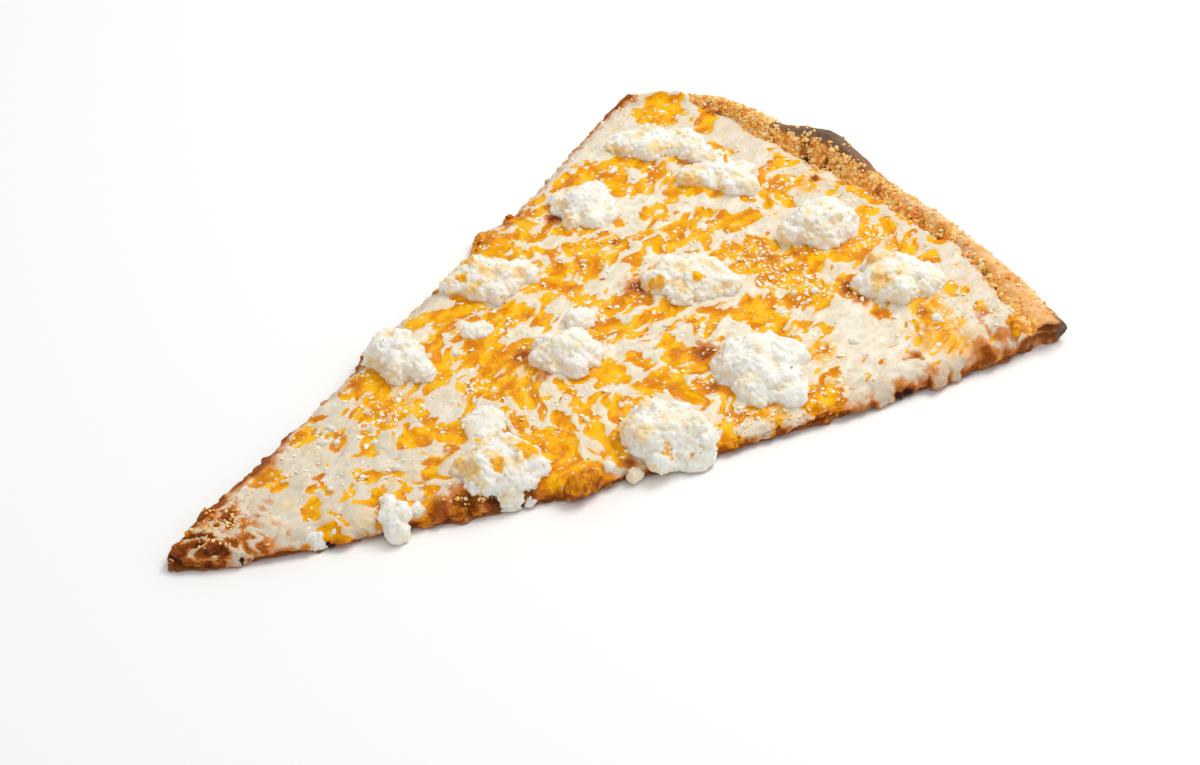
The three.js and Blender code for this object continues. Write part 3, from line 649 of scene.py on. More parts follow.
def close_shell(top, shape, skirts, bottom, ratio):
    """Points and faces of a closed shell: a fine grid `top`, loops of skirt points below its
    border, and a grid `bottom` that is `ratio` times coarser each way, joined by fans."""
    rows, columns = shape
    border = loop_of(rows, columns)
    count = len(border)
    coarse = (rows // ratio, columns // ratio)
    points = np.concatenate([top, *skirts, bottom])
    faces = [grid_faces(rows, columns)]
    ring = border
    step = np.arange(count)
    for k in range(len(skirts)):
        below = len(top) + k * count + step
        a, b = ring, np.roll(ring, -1)
        c, d = np.roll(below, -1), below
        faces += [np.stack([a, d, c], -1), np.stack([a, c, b], -1)]
        ring = below
    base = len(top) + len(skirts) * count
    under = base + loop_of(*coarse)
    owner = ((step + ratio // 2) // ratio) % len(under)
    faces.append(np.stack([ring, under[owner], np.roll(ring, -1)], -1))
    turn = np.nonzero(owner != np.roll(owner, -1))[0]
    nxt = (turn + 1) % count
    faces.append(np.stack([ring[nxt], under[owner[turn]], under[owner[nxt]]], -1))
    faces.append(grid_faces(*coarse, start=base)[:, ::-1])
    return points, np.concatenate(faces)


def to_frame(plan_points, z):
    """Plan points, measured from the middle of the pie, and heights as points of the frame."""
    return np.concatenate([plan_points + np.array([PIE_CENTRE_X, 0]), np.asarray(z)[..., None]], -1)


# ------------------------------------------------------------------ where things lie
def strand_field(place, strands):
    """Half a strand's width less the distance to its middle line, the largest over all of
    the strands: above zero inside a strand and below zero outside it, in millimetres."""
    best = np.full(place.shape[:-1], -9.0)
    for width, *route in strands:
        for start, end in zip(route, route[1:] or route):
            start, run = np.array(start), np.subtract(end, start)
            t = np.clip((place - start) @ run / max(run @ run, 1e-9), 0, 1)
            gap = np.linalg.norm(place - start - t[..., None] * run, axis=-1)
            best = np.maximum(best, width / 2 - gap)
    return best


def flow_places(place):
    """Places measured along and across the way in which the melted shreds are drawn out:
    nearly along the slice, turned by 48 degrees more round the swirl, and swayed by noise."""
    gap = place - np.array(SWIRL)
    turn = np.radians(14 + 48 * bump(np.hypot(gap[..., 0], gap[..., 1]), 0, 28))
    sway = 3.2 * np.stack([noise(place, 13, 81), noise(place, 13, 82)], -1)
    bent = gap + sway + 0.9 * np.stack([noise(place, 4.5, 83), noise(place, 4.5, 84)], -1)
    x, y = bent[..., 0], bent[..., 1]
    return np.stack([x * np.cos(turn) + y * np.sin(turn), y * np.cos(turn) - x * np.sin(turn)], -1)


def streaks(place, spacing, stretch, seed):
    """Noise drawn out into streaks along the flow, `stretch` times as long as wide."""
    return noise(flow_places(place) / [stretch, 1], spacing, seed)


def cheddar_field(place):
    """The strands, bent by noise, with flecks drawn out along the flow between them, and cut
    through by slivers of white. Above zero it is orange."""
    warp = np.stack([noise(place, 5.5, 81), noise(place, 5.5, 82)], -1)
    fine = np.stack([noise(place, 2.1, 83), noise(place, 2.1, 84)], -1)
    bent = place + 1.1 * warp + 0.6 * fine
    strands = strand_field(bent, SHREDS) + lerp(0.2, 0.75, smooth(place[..., 0], 45, 95))
    busy = 0.5 + 0.2 * noise(place, 17, 85) - 1.2 * dabs(place, CALM) + 0.6 * dabs(place, BUSY)
    flecks = 1.9 * (1.5 * streaks(place, 2.2, 2.8, 86) - 1 + busy)
    slivers = 2.2 * (0.6 - streaks(place, 2.1, 3.2, 88))
    speckled = 1.1 * dabs(place, SPECKLED) - 0.95
    return np.minimum(np.maximum.reduce([strands, flecks, speckled]), slivers)


def dabs(place, spots):
    """Strongest of soft round spots, each strength * exp(-(distance / radius)^2)."""
    best = np.zeros(place.shape[:-1])
    for along, across, radius, strength in spots:
        gap = np.hypot(place[..., 0] - along, place[..., 1] - across)
        best = np.maximum(best, strength * bump(gap, 0, radius))
    return best


def in_lumps(place, grow=0.0):
    """1 well inside the outline of any ricotta lump and 0 well outside, in plan."""
    best = np.zeros(place.shape[:-1])
    for lump in RICOTTA:
        turn = math.radians(lump.turn)
        x, y = place[..., 0] - lump.along, place[..., 1] - lump.across
        u = (x * math.cos(turn) + y * math.sin(turn)) / (lump.length / 2 + grow)
        v = (y * math.cos(turn) - x * math.sin(turn)) / (lump.width / 2 + grow)
        best = np.maximum(best, 1 - smooth(np.hypot(u, v), 0.8, 1.1))
    return best


# ------------------------------------------------------------------ melted cheese
def cheese_end(phi):
    """Radius at which the melted cheese stops: a little way up the rim's inner slope, and
    almost at the outside of the far corner."""
    a = np.degrees(phi)
    line = np.stack([a, np.zeros_like(a)], -1)
    tongues = sum(reach * bump(a, at, spread) for at, spread, reach in CHEESE_TONGUES)
    end = rim_foot(phi) + 1.2 + 1.5 * noise(line, 2.3, 61) + 0.5 * noise(line, 0.8, 62) + tongues
    corner = smooth(a, 14, 16.5)
    limit = lerp(rim_foot(phi), rim_radius(phi), lerp(0.24, 0.74, corner))
    return np.clip(end + 5.5 * corner, rim_foot(phi) - 2.5, limit)


def crags(place):
    """Ridges and pockets of the cheese at the point of the slice, about -1 to 1."""
    streak = np.stack([place @ [0.8, 0.6] / 3.4, place @ [-0.6, 0.8] / 7], -1)
    ridges = 1 - 2.6 * np.abs(noise(streak + 0.4 * place / 9, 1.0, 29))
    return 0.75 * ridges + 0.3 * noise(place, 3, 93) + 0.15 * noise(place, 1.2, 94)


def cheese_relief(place, r):
    """Hills and hollows of the melted cheese, ropes along the flow, puffy folds near the cut
    towards the rim, and deep wrinkles at the point."""
    broad = 0.5 * fractal(place, 11, 21, 2) + 0.4 * fractal(place, 4.2, 24, 3)
    ropes = 0.24 * streaks(place, 3, 2.2, 27)
    folded = dabs(place, FOLDED)
    folds = folded * (0.6 * (1 - 2 * np.abs(noise(place, 5, 30))) + 2.2 * (0.5 - cells(place, 6, 32)))
    return broad + ropes + folds + 1.2 * crags(place) * (1 - smooth(r, 17, 30))


def cheese_thickness(r, phi):
    """Thickness of the melted cheese: thin at the point, tapering at the rim and rounding
    down at the cuts by drop * exp(-depth / width), with the fried nugget on top."""
    place = plan(r, phi)
    end = cheese_end(phi)
    melt = lerp(2.0, sizes().cheese_thickness, smooth(r, 8, 45))
    taper = 0.6 * smooth(r, end - 6, end) + 1.4 * smooth(r, end - 1.8, end) ** 2
    depth = np.maximum(depth_from_cut(r, phi), 0)
    rounding = 1.2 * np.exp(-depth / 4.5) + 0.9 * np.exp(-((depth / 1.7) ** 1.5))
    rounding += 0.8 * (cells(place, 3.2, 28) - 0.5) * np.exp(-depth / 3)
    at = NUGGET[0] * np.array([math.cos(math.radians(NUGGET[1])), math.sin(math.radians(NUGGET[1]))])
    nugget = 1.9 * dabs(place, [(*at, 4.5, 1), (at[0] - 3, at[1] + 0.5, 3.4, 0.8)])
    sunk = 0.24 * smooth(cheddar_field(place), -0.6, 0.6)
    swell = 0.5 * in_lumps(place, 1.5)
    return np.maximum(melt + cheese_relief(place, r) - taper - rounding + nugget - sunk + swell, 0.35)


def cheese_top(r, phi):
    """Height of the top of the cheese above the floor."""
    return crust_top(np.minimum(r, cheese_end(phi)), phi) + cheese_thickness(r, phi)


def drips(r):
    """Where pale cheese has run down the near cut, 0 to 1: the high parts of a noise along the
    cut, kept to its dripping stretch."""
    line = np.stack([r, np.full_like(r, 7.0)], -1)
    return bump(r, *DRIPPING) * smooth(noise(line, 4.2, 78), -0.12, 0.25)


def lip_height(r, side):
    """Height at which the cheese that has run over a cut stops: lower where it ran further,
    and always clear of the floor."""
    line = np.stack([r, np.full_like(r, 20.0 * side)], -1)
    ragged = 0.6 * noise(line, 6, 71) + 0.5 * noise(line, 2.4, 72) + 0.3 * noise(line, 1.1, 70)
    bare = NEAR_BARE if side < 0 else FAR_BARE
    usual = 0.9 - 0.5 * drips(r) if side < 0 else 1.7
    return np.maximum(usual + ragged + sum(up * bump(r, at, wide) for at, wide, up in bare), 0.25)


def brown_far(r):
    """How brown the far cut is at radius r, 0 to 1."""
    return 0.25 + sum(strength * bump(r, at, wide) for at, wide, strength in FAR_BROWN)


def melted_cheese(material):
    """Cheese: a fine top sheet at cheese_top, a lip that bulges out, most where it drips, and
    runs down each cut to lip_height, tucks back under, and a coarse underside on the crust."""
    rows, columns, lip_rows, ratio = 380, 220, 9, 10

    def sheet(rows, columns, start, short):
        """Radii and angles of a grid over the cheese, `short` of its rim end and both cuts."""
        u, v = np.meshgrid(np.linspace(0, 1, rows + 1), np.linspace(-1, 1, columns + 1), indexing="ij")
        v = np.sign(v) * (1 - (1 - np.abs(v)) ** 1.3)
        end = cheese_end(v * sizes().half_angle) - short
        r = lerp(start, end, u)
        return r, angle_across(r, v * (1 - short / r))

    r, phi = sheet(rows, columns, TIP_RADIUS + 0.2, 0)
    place = plan(r, phi)
    top = to_frame(place, cheese_top(r, phi)).reshape(-1, 3)
    low_r, low_phi = sheet(rows // ratio, columns // ratio, TIP_RADIUS + 1.6, 1.4)
    low = to_frame(plan(low_r, low_phi), crust_top(low_r, low_phi) + 0.05).reshape(-1, 3)

    border = loop_of(rows, columns)
    edge, edge_r, edge_phi = top[border], r.ravel()[border], phi.ravel()[border]
    normal = outward(edge)
    at_rim = edge_r >= cheese_end(edge_phi) - 0.01
    open_edge = 1 - smooth(edge_r, cheese_end(edge_phi) - 5, cheese_end(edge_phi))
    stop = np.where(edge_phi < 0, lip_height(edge_r, -1), lip_height(edge_r, 1))
    stop = lerp(crust_top(edge_r, edge_phi) - 0.3, np.minimum(stop, edge[:, 2] - 0.6), open_edge)
    line = np.stack([edge[:, 0], edge[:, 1] * 1.3], -1)
    bulge = np.where(at_rim, 0.12, (0.55 + 0.45 * noise(line, 4.5, 73)) * open_edge)
    bulge = bulge + 1.1 * drips(edge_r) * (edge_phi < 0)
    skirts = []
    for k in range(1, lip_rows + 1):
        s = k / lip_rows
        out = bulge * math.sin(math.pi / 2 * min(s / 0.5, 1)) - np.where(at_rim, 0.3, 1.3) * smooth(s, 0.8, 1)
        z = lerp(edge[:, 2], stop, min(s / 0.88, 1))
        spot = np.stack([line[:, 0], line[:, 1], z], -1)
        crumbly = 1.3 * (0.5 - cells(spot, 2.8, 76)) + 0.5 * noise(spot, 1.3, 75) + 0.4 * noise(spot, 5, 74)
        crumbly = crumbly * open_edge * math.sin(math.pi * min(0.12 + s, 1))
        skirts.append(np.column_stack([edge[:, :2] + normal * (out + crumbly)[:, None], z]))
    points, faces = close_shell(top, (rows, columns), skirts, low, ratio)

    down = [np.zeros(len(top))] + [np.full(len(border), k / lip_rows) for k in range(1, lip_rows + 1)]
    side = np.concatenate(down + [np.ones(len(low))])
    flat = points[:, :2] - np.array([PIE_CENTRE_X, 0])
    radius, angle = np.hypot(*flat.T), np.arctan2(flat[:, 1], flat[:, 0])
    strands = cheddar_field(flat)
    depth = np.maximum(depth_from_cut(radius, angle), 0)
    mottled = 0.5 + 0.5 * fractal(flat, 6, 85, 3)
    tip = 1 - smooth(radius + 7 * noise(flat, 7, 86), 18, 34)
    valley = 1.15 * smooth(0.62 - crags(flat) + 0.5 * (mottled - 0.5), -0.15, 0.4)
    # Browning along the near cut and down its side. Painted shade is there too, as that side faces away from
    # the key light.
    near_edge_brown_and_shade = 0.7 * np.exp(-depth / 1.8) * mottled + 0.5 * smooth(side, 0.1, 0.5) * (0.3 + 1.2 * mottled)
    near_edge_brown_and_shade += 0.45 * smooth(side, 0.7, 1)
    paler = 1.15 * drips(radius) + 0.4 * (1 - smooth(radius, 44, 62))
    near_edge_brown_and_shade *= 1 + 0.35 * bump(radius, *DRIPPING) - paler
    wide = lerp(3.6, 1.2, smooth(radius, 30, 60))
    far_edge = (1.2 * np.exp(-depth / wide) + 0.4 * np.exp(-depth / 3)) * brown_far(radius) * (mottled + 0.35)
    far_edge = np.minimum(far_edge, 0.95)
    cut = np.where(angle < 0, near_edge_brown_and_shade, far_edge)
    # Darker brown in the hollows between the folds: painted shade.
    fold_hollow_shade = 0.85 * dabs(flat, FOLDED) * smooth(cells(flat, 6, 32), 0.4, 0.75) * (0.4 + mottled)
    fried = np.maximum.reduce([tip * valley, cut, dabs(flat, FRIED_AND_SHADOW_SPOTS), fold_hollow_shade])
    towards_tip = 1 - smooth(radius + 30 * noise(flat, 30, 87), 20, 120)
    # Greyer towards the point and the rim; along the cuts this grey is painted shade.
    grey_and_cut_shade = np.maximum(towards_tip, 1.6 * np.exp(-depth / 2.4)) + 0.5 * smooth(radius, 185, 212)
    attributes = {
        "cheddar": strands,
        "thick": 1.1 * streaks(flat, 3.4, 1.8, 91),
        "flow": np.column_stack([flow_places(flat), points[:, 2]]),
        "blush": np.maximum(dabs(flat, BLUSH), 0.42 * np.exp(np.minimum(strands, 0) / 0.9)),
        # fried also holds painted shade down the near cut, in the folds' hollows and beside some lumps
        "fried": fried,
        "speckle": np.minimum(dabs(flat, SPECKLED), 1),
        "grey_and_cut_shade": grey_and_cut_shade,
    }
    return add_piece("melted_cheese", points, faces, ["cheese_layer"], attributes, material)


# ------------------------------------------------------------------ crust
BASE_ROWS, RIM_ROWS, CRUST_COLUMNS = 200, 48, 240
BASE_SHARE = BASE_ROWS / (BASE_ROWS + RIM_ROWS)


def crust_section(u, phi):
    """Radius, top, underside and share across the rim: the flat base out to the rim's foot,
    then the rim, whose underside tucks in as a quarter ellipse."""
    foot, outer, height = rim_foot(phi), rim_radius(phi), rim_height(phi)
    w = np.clip((u - BASE_SHARE) / (1 - BASE_SHARE), 0, 1)
    q = np.sin(w * math.pi / 2)
    base = u <= BASE_SHARE
    r = np.where(base, lerp(TIP_RADIUS, foot, np.minimum(u / BASE_SHARE, 1)), lerp(foot, outer, q))
    tuck = np.sqrt(np.maximum(1 - (np.clip(q - 0.6, 0, 1) / 0.4) ** 2, 0))
    return r, crust_top(r, phi), WAIST * height * (1 - tuck), q


def crust_sheet(rows, columns, upper):
    """One face of the crust on a grid: frame points, angle and share across the rim."""
    u, v = np.meshgrid(np.linspace(0, 1, rows + 1), np.linspace(-1, 1, columns + 1), indexing="ij")
    guess = crust_section(u, v * sizes().half_angle)[0]
    phi = angle_across(guess, v)
    r, top, under, q = crust_section(u, phi)
    inset = lerp(0.9, 0.25, smooth(r, rim_foot(phi) - 3, rim_foot(phi) + 1)) if upper else 0.7
    phi = angle_across(r, v) - np.sign(v) * np.abs(v) ** 8 * inset / r
    if upper:
        z = top
    else:
        z = under + 0.35 * np.abs(noise(plan(r, phi), 5, 31))
    return to_frame(plan(r, phi), z), r, phi, q


def along_normals(points, amount):
    """Moves each point of a grid along the grid's own upward normal by an amount."""
    normal = np.cross(np.gradient(points, axis=0), np.gradient(points, axis=1))
    normal /= np.maximum(np.linalg.norm(normal, axis=-1, keepdims=True), 1e-9)
    return points + normal * amount[..., None]


def rim_band(q, phi, place):
    """How thickly toasted crumbs cover a place on the rim, 0 to 1, by its share across: up to
    about the crest, further over beyond the bubble, less far towards the near cut, and hardly
    any on the bubble's charred outer part."""
    a = np.degrees(phi)
    over = 0.4 * smooth(a, 7.5, 10) * (1 - smooth(a, 14.5, 16.5)) - 0.2 * smooth(-a, 0, 5)
    reach = 0.5 + over - 0.1 * bubble(phi) + 0.16 * noise(place, 9, 33) + 0.1 * noise(place, 2.5, 34)
    bare = 1 - 0.95 * smooth(bubble(phi), 0.12, 0.45) * smooth(q, 0.33, 0.44)
    return (q > 0) * (1 - smooth(q, reach - 0.08, reach + 0.14)) * bare


def baked_crust(material):
    """Crust: the sections of crust_section carried round the arc, roughened by noise along
    the normals, with porous cut sides that spread out near the floor, crumbs of crust that
    stick out of the near cut, and a hollow pocket in each cut end of the rim."""
    rows, columns, side_rows = BASE_ROWS + RIM_ROWS, CRUST_COLUMNS, 12
    sheet, r, phi, q = crust_sheet(rows, columns, True)
    place = plan(r, phi)
    band = rim_band(q, phi, place)
    lumpy = 0.9 * (0.5 - cells(sheet, 2.6, 38)) + 0.5 * fractal(sheet, 2.8, 39, 2)
    skin = 0.3 * fractal(sheet, 6, 35, 3) + band * lumpy + 0.06 * noise(sheet, 1, 36)
    blister = dabs(place, RIM_SPOTS)
    pockets = smooth(noise(sheet, 3.2, 49), 0.1, 0.4) * bump(q, 0.12, 0.12)
    amount = np.where(q > 0, (skin - 0.6 * pockets) * smooth(q, 0, 0.1) + 0.4 * blister, 0)
    top = along_normals(sheet, amount).reshape(-1, 3)
    low, _, _, low_q = crust_sheet(rows // 2, columns // 2, False)
    low = low.reshape(-1, 3)
    floor_edge = crust_sheet(rows, columns, False)[0].reshape(-1, 3)

    border = loop_of(rows, columns)
    edge, under, edge_q = top[border], floor_edge[border], q.ravel()[border]
    edge_r, edge_phi = r.ravel()[border], phi.ravel()[border]
    normal = outward(edge)
    at_end = edge_q >= 1 - 1e-6
    line = edge[:, 0] + 2 * edge[:, 1]
    inside = np.where(at_end, 0, smooth(edge_q, 0.08, 0.3) * (1 - smooth(edge_q, 0.8, 0.97)))
    nubs = sum(out * bump(edge_r, at, wide) for at, wide, out in NEAR_NUBS) * (edge_phi < 0)
    skirts, pore_and_pocket_shade = [], []
    for k in range(1, side_rows + 1):
        s = k / side_rows
        z = lerp(edge[:, 2], under[:, 2], s)
        spot = np.stack([line, z * 1.6, np.full_like(z, 5.0)], -1)
        rough = 0.75 * fractal(spot, 3.2, 41, 3)
        pores = 0.8 * smooth(0.45 - cells(spot, 1.8, 44), 0, 0.3)
        layered = np.stack([line / 4, z * 1.3, np.full_like(z, 9.0)], -1)
        pocket = 1.5 * inside * math.sin(math.pi * s) ** 0.7 * (0.6 + 0.9 * noise(layered, 1.4, 45))
        flange = 0.75 * smooth(s, 0.35, 0.8) * (1 - smooth(s, 0.9, 1.15)) * (edge_q <= 0)
        out = np.where(at_end, 0, rough - pores - pocket + flange + nubs * smooth(s, 0.2, 0.7))
        flat = lerp(edge[:, :2], under[:, :2], s) + normal * (out * (s < 1))[:, None]
        skirts.append(np.column_stack([flat, np.maximum(z, 0)]))
        pore_and_pocket_shade.append(pores + pocket)
    points, faces = close_shell(top, (rows, columns), skirts, low, 2)

    flat = points[:, :2] - np.array([PIE_CENTRE_X, 0])
    radius, angle = np.hypot(*flat.T), np.arctan2(flat[:, 1], flat[:, 0])
    counts = (len(top), len(border) * side_rows, len(low))
    side = np.repeat([0.0, 1.0, 0.0], counts)
    below = np.repeat([0.0, 0.0, 1.0], counts)
    # Painted shade: the cut sides are darker where pores and pockets push them in.
    hollow = np.concatenate([np.zeros(len(top)), *pore_and_pocket_shade, np.zeros(len(low))])
    share = np.concatenate([q.ravel(), np.tile(edge_q, side_rows), low_q.ravel()])
    bare = np.zeros(len(points) - len(top))
    crumbs = np.concatenate([band.ravel(), bare])
    pits = (np.clip(0.1 - lumpy, 0, 1) * band + pockets).ravel()
    pits = np.concatenate([pits, bare])
    outer = smooth(share, 0.27, 0.42)
    ends = 0.8 * smooth(-np.degrees(angle), 17.2, 19.6) * smooth(radius, 220.5, 224.5)
    charred = np.maximum(1.15 * bubble(angle) ** 0.6 * outer, ends)
    tanned = 0.3 + 0.16 * fractal(flat, 9, 47, 3) + 0.5 * dabs(flat, RIM_SPOTS) + 0.55 * pits
    cut_bake = 0.9 + 0.4 * noise(flat, 4, 48) - 0.24 * (share > 0)
    attributes = {
        "bake_and_pore_shade": np.where(side > 0, cut_bake, tanned) + 0.16 * hollow,
        "char": charred * np.where(below > 0, smooth(share, 0.55, 0.85), 1),
        "below": below,
        "crumbs": crumbs,
    }
    return add_piece("baked_crust", points, faces, ["crust"], attributes, material)


# ------------------------------------------------------------------ ricotta
def net(field, corner, step):
    """Closed surface where a lattice of values crosses zero, with the inside below zero. Each
    lattice cell that the surface passes through holds one point, the mean of the crossings
    on its edges, and each crossed edge is covered by one four-sided face."""
    inside = field < 0
    cells_shape = tuple(n - 1 for n in field.shape)
    total, count = np.zeros((*cells_shape, 3)), np.zeros(cells_shape)
    crossed = []
    for axis in range(3):
        first = [slice(None)] * 3
        first[axis] = slice(None, -1)
        last = [slice(None)] * 3
        last[axis] = slice(1, None)
        a, b = field[tuple(first)], field[tuple(last)]
        cut = inside[tuple(first)] != inside[tuple(last)]
        share = np.where(cut, a / np.where(cut, a - b, 1), 0)
        crossed.append((cut, inside[tuple(first)]))
        u, v = (axis + 1) % 3, (axis + 2) % 3
        for du in (0, 1):
            for dv in (0, 1):
                part = [slice(None)] * 3
                part[u] = slice(du, du + cells_shape[u])
                part[v] = slice(dv, dv + cells_shape[v])
                hit = cut[tuple(part)]
                count += hit
                total[..., axis] += share[tuple(part)]
                total[..., u] += du * hit
                total[..., v] += dv * hit
    used = count > 0
    index = np.full(cells_shape, -1)
    index[used] = np.arange(np.count_nonzero(used))
    points = corner + step * (np.argwhere(used) + total[used] / count[used, None])
    faces = []
    for axis, (cut, below) in enumerate(crossed):
        u, v = (axis + 1) % 3, (axis + 2) % 3
        place = np.argwhere(cut)
        ring = []
        for du, dv in ((0, 0), (-1, 0), (-1, -1), (0, -1)):
            cell = place.copy()
            cell[:, u] += du
            cell[:, v] += dv
            ring.append(index[tuple(cell.T)])
        quads = np.stack(ring, -1)
        flip = ~below[cut]
        quads[flip] = quads[flip][:, ::-1]
        faces.append(quads)
    return points, np.concatenate(faces)


def join_balls(field, axes, spots, radii, blend):
    """Joins balls to a distance field, with the creases between them rounded over `blend`."""
    for spot, radius in zip(spots, radii):
        reach = radius + 2 * blend + 0.5
        window = tuple(slice(*np.searchsorted(axis, (c - reach, c + reach))) for axis, c in zip(axes, spot))
        x, y, z = (axis[part] - c for axis, part, c in zip(axes, window, spot))
        gap = np.sqrt(x[:, None, None] ** 2 + y[:, None] ** 2 + z**2) - radius
        old = field[window]
        share = np.clip(0.5 + 0.5 * (old - gap) / blend, 0, 1)
        field[window] = lerp(old, gap, share) - blend * share * (1 - share)


def on_surface(field, axes, count, rng, sunk, radii):
    """Random places on the upper part of a field's surface, moved inwards by `sunk` radii."""
    step = axes[0][1] - axes[0][0]
    near = np.argwhere(np.abs(field) < 0.6 * step)
    near = near[axes[2][near[:, 2]] > axes[2][0] + 1.2]
    if not len(near):
        return np.zeros((0, 3)), radii[:0]
    pick = near[rng.integers(0, len(near), count)]
    slope = np.stack([g[tuple(pick.T)] for g in np.gradient(field, step)], -1)
    slope /= np.maximum(np.linalg.norm(slope, axis=1, keepdims=True), 1e-6)
    spots = np.stack([axis[pick[:, k]] for k, axis in enumerate(axes)], -1)
    return spots - slope * (sunk * radii)[:, None], radii


def curds(lump, seed, bed, step=LUMP_STEP, sags=True):
    """A crumbly mound: a rounded core with a lobed outline, joined by large, middling and
    small curds and roughened by noise. Past a cut it sags; elsewhere it is cut off flat just
    inside the cheese. Returns frame points, faces, and how far each point stands out from the
    broad shape."""
    rng = np.random.default_rng(seed)
    half = 0.62 * max(lump.length, lump.width) + 1.6
    lowest = 0.3 - bed[2]
    wide = np.arange(-half, half, step)
    axes = [wide, wide, np.arange(lowest, 1.2 * lump.height + 2.5, step)]
    x, y = np.meshgrid(axes[0], axes[1], indexing="ij")
    flat = np.stack([x + bed[0] - PIE_CENTRE_X, y + bed[1]], -1)
    radius, angle = np.hypot(flat[..., 0], flat[..., 1]), np.arctan2(flat[..., 1], flat[..., 0])
    past = np.maximum(1.4 - depth_from_cut(radius, angle), 0)
    sag = sags * np.minimum(0.9 * past**1.1, bed[2] + 1.5)
    turn = math.radians(lump.turn)
    u, v = x * math.cos(turn) + y * math.sin(turn), y * math.cos(turn) - x * math.sin(turn)
    bearing = np.arctan2(v, u)
    outline = np.ones_like(u)
    for k in range(2, 9):
        outline += rng.uniform(0.04, 0.1) / (k / 2) ** 0.5 * np.cos(k * bearing + rng.uniform(0, FULL_TURN))
    for lobe, strength, width in lump.lobes:
        off = (np.degrees(bearing) + lump.turn - lobe + 180) % 360 - 180
        outline += strength * bump(off, 0, width)
    spread = np.hypot(u / (0.43 * lump.length), v / (0.43 * lump.width)) / outline
    z = axes[2][None, None, :] + sag[..., None]
    up = np.where(z > 0, z / (0.8 * lump.height), z / 3.2)
    shape = (spread[..., None] ** 1.9 + np.abs(up) ** 1.9) ** (1 / 1.9)
    slope = np.sqrt(sum(g**2 for g in np.gradient(shape, step)))
    field = (shape - 1) / np.maximum(slope, 0.03)

    scale = min(1, math.sqrt(lump.length * lump.width) / 11, lump.height / 3.4)
    area = (0.8 * lump.length * lump.width + (lump.length + lump.width) * lump.height) / scale
    for count, (small, large), sunk, blend in (
        (area / 34, (2.0, 3.8), 0.6, 1.0),
        (area / 6, (0.7, 1.7), 0.7, 0.5),
        (area / 0.6, (0.3, 0.75), 0.42, 0.16),
    ):
        radii = scale * rng.uniform(small, large, max(int(count), 3))
        spots, radii = on_surface(field, axes, len(radii), rng, sunk, radii)
        join_balls(field, axes, spots, radii, blend * scale)
        if blend == 1.0:
            broad = field.copy()
    band = np.abs(field) < 1
    spot = np.argwhere(band) * step + rng.uniform(0, 90)
    field[band] += scale * (0.4 * noise(spot, 2.4 * scale, seed) + 0.2 * noise(spot, 0.9 * scale, seed + 1))
    foot = max(lowest + 0.2, -LUMP_DEPTH)
    field = np.maximum(field, np.where(past[..., None] > 0, lowest + 0.25, foot) - axes[2])
    for axis in range(3):
        edges = [slice(None)] * 3
        for end in (0, -1):
            edges[axis] = end
            field[tuple(edges)] = 1
    corner = np.array([axis[0] for axis in axes])
    points, faces = net(field, corner, step)
    cell = np.clip(np.round((points - corner) / step).astype(int), 0, np.array(field.shape) - 1)
    return points + bed, faces, broad[tuple(cell.T)]


def curd_attributes(points, relief, lump, bed, seed):
    """Curd relief, toast that grows towards the side away from the key light, where it is warm painted shade
    as well, and cheddar that stains the lump's foot.
    """
    local = points - bed
    height = local[:, 2] / lump.height
    shaded_side = local[:, :2] @ [math.cos(SHADED_SIDE), math.sin(SHADED_SIDE)] / (lump.length / 2)
    patch = smooth(fractal(points, 4.5, seed, 3), -0.6, 0.8)
    # Toast grows towards the shaded side: browning and warm painted shade.
    toast = lump.toast * (0.5 + 0.5 * np.clip(shaded_side + 0.35, 0, 1.2) + 0.25 * height) * (0.1 + 1.6 * patch)
    flat = points[:, :2] - np.array([PIE_CENTRE_X, 0])
    seep = smooth(cheddar_field(flat), -0.5, 0.8) * np.exp(-np.abs(local[:, 2]) / 0.9)
    return {"curd": relief, "toast": toast, "stain": seep + dabs(flat, RICOTTA_STAINS)}


def lump_bed(lump):
    """Frame place of the middle of a lump's foot, just under the top of the cheese."""
    s = sizes()
    r = math.hypot(lump.along, lump.across)
    heel = min(max((r - s.heel_start) / (s.rim_radius - s.rim_band - s.heel_start), 0), 1)
    top = s.base_thickness + s.heel_rise * heel**1.3 + s.cheese_thickness
    return np.array([PIE_CENTRE_X + lump.along, lump.across, top - 0.2])


def ricotta_lump(lump, index, material):
    """One lump of ricotta, set a little into the cheese."""
    bed = lump_bed(lump)
    points, faces, relief = curds(lump, 500 + index, bed)
    name = f"ricotta_{index:02d}"
    attributes = curd_attributes(points, relief, lump, bed, 900 + index)
    return add_piece(f"{name}_curds", points, faces, [name], attributes, material)


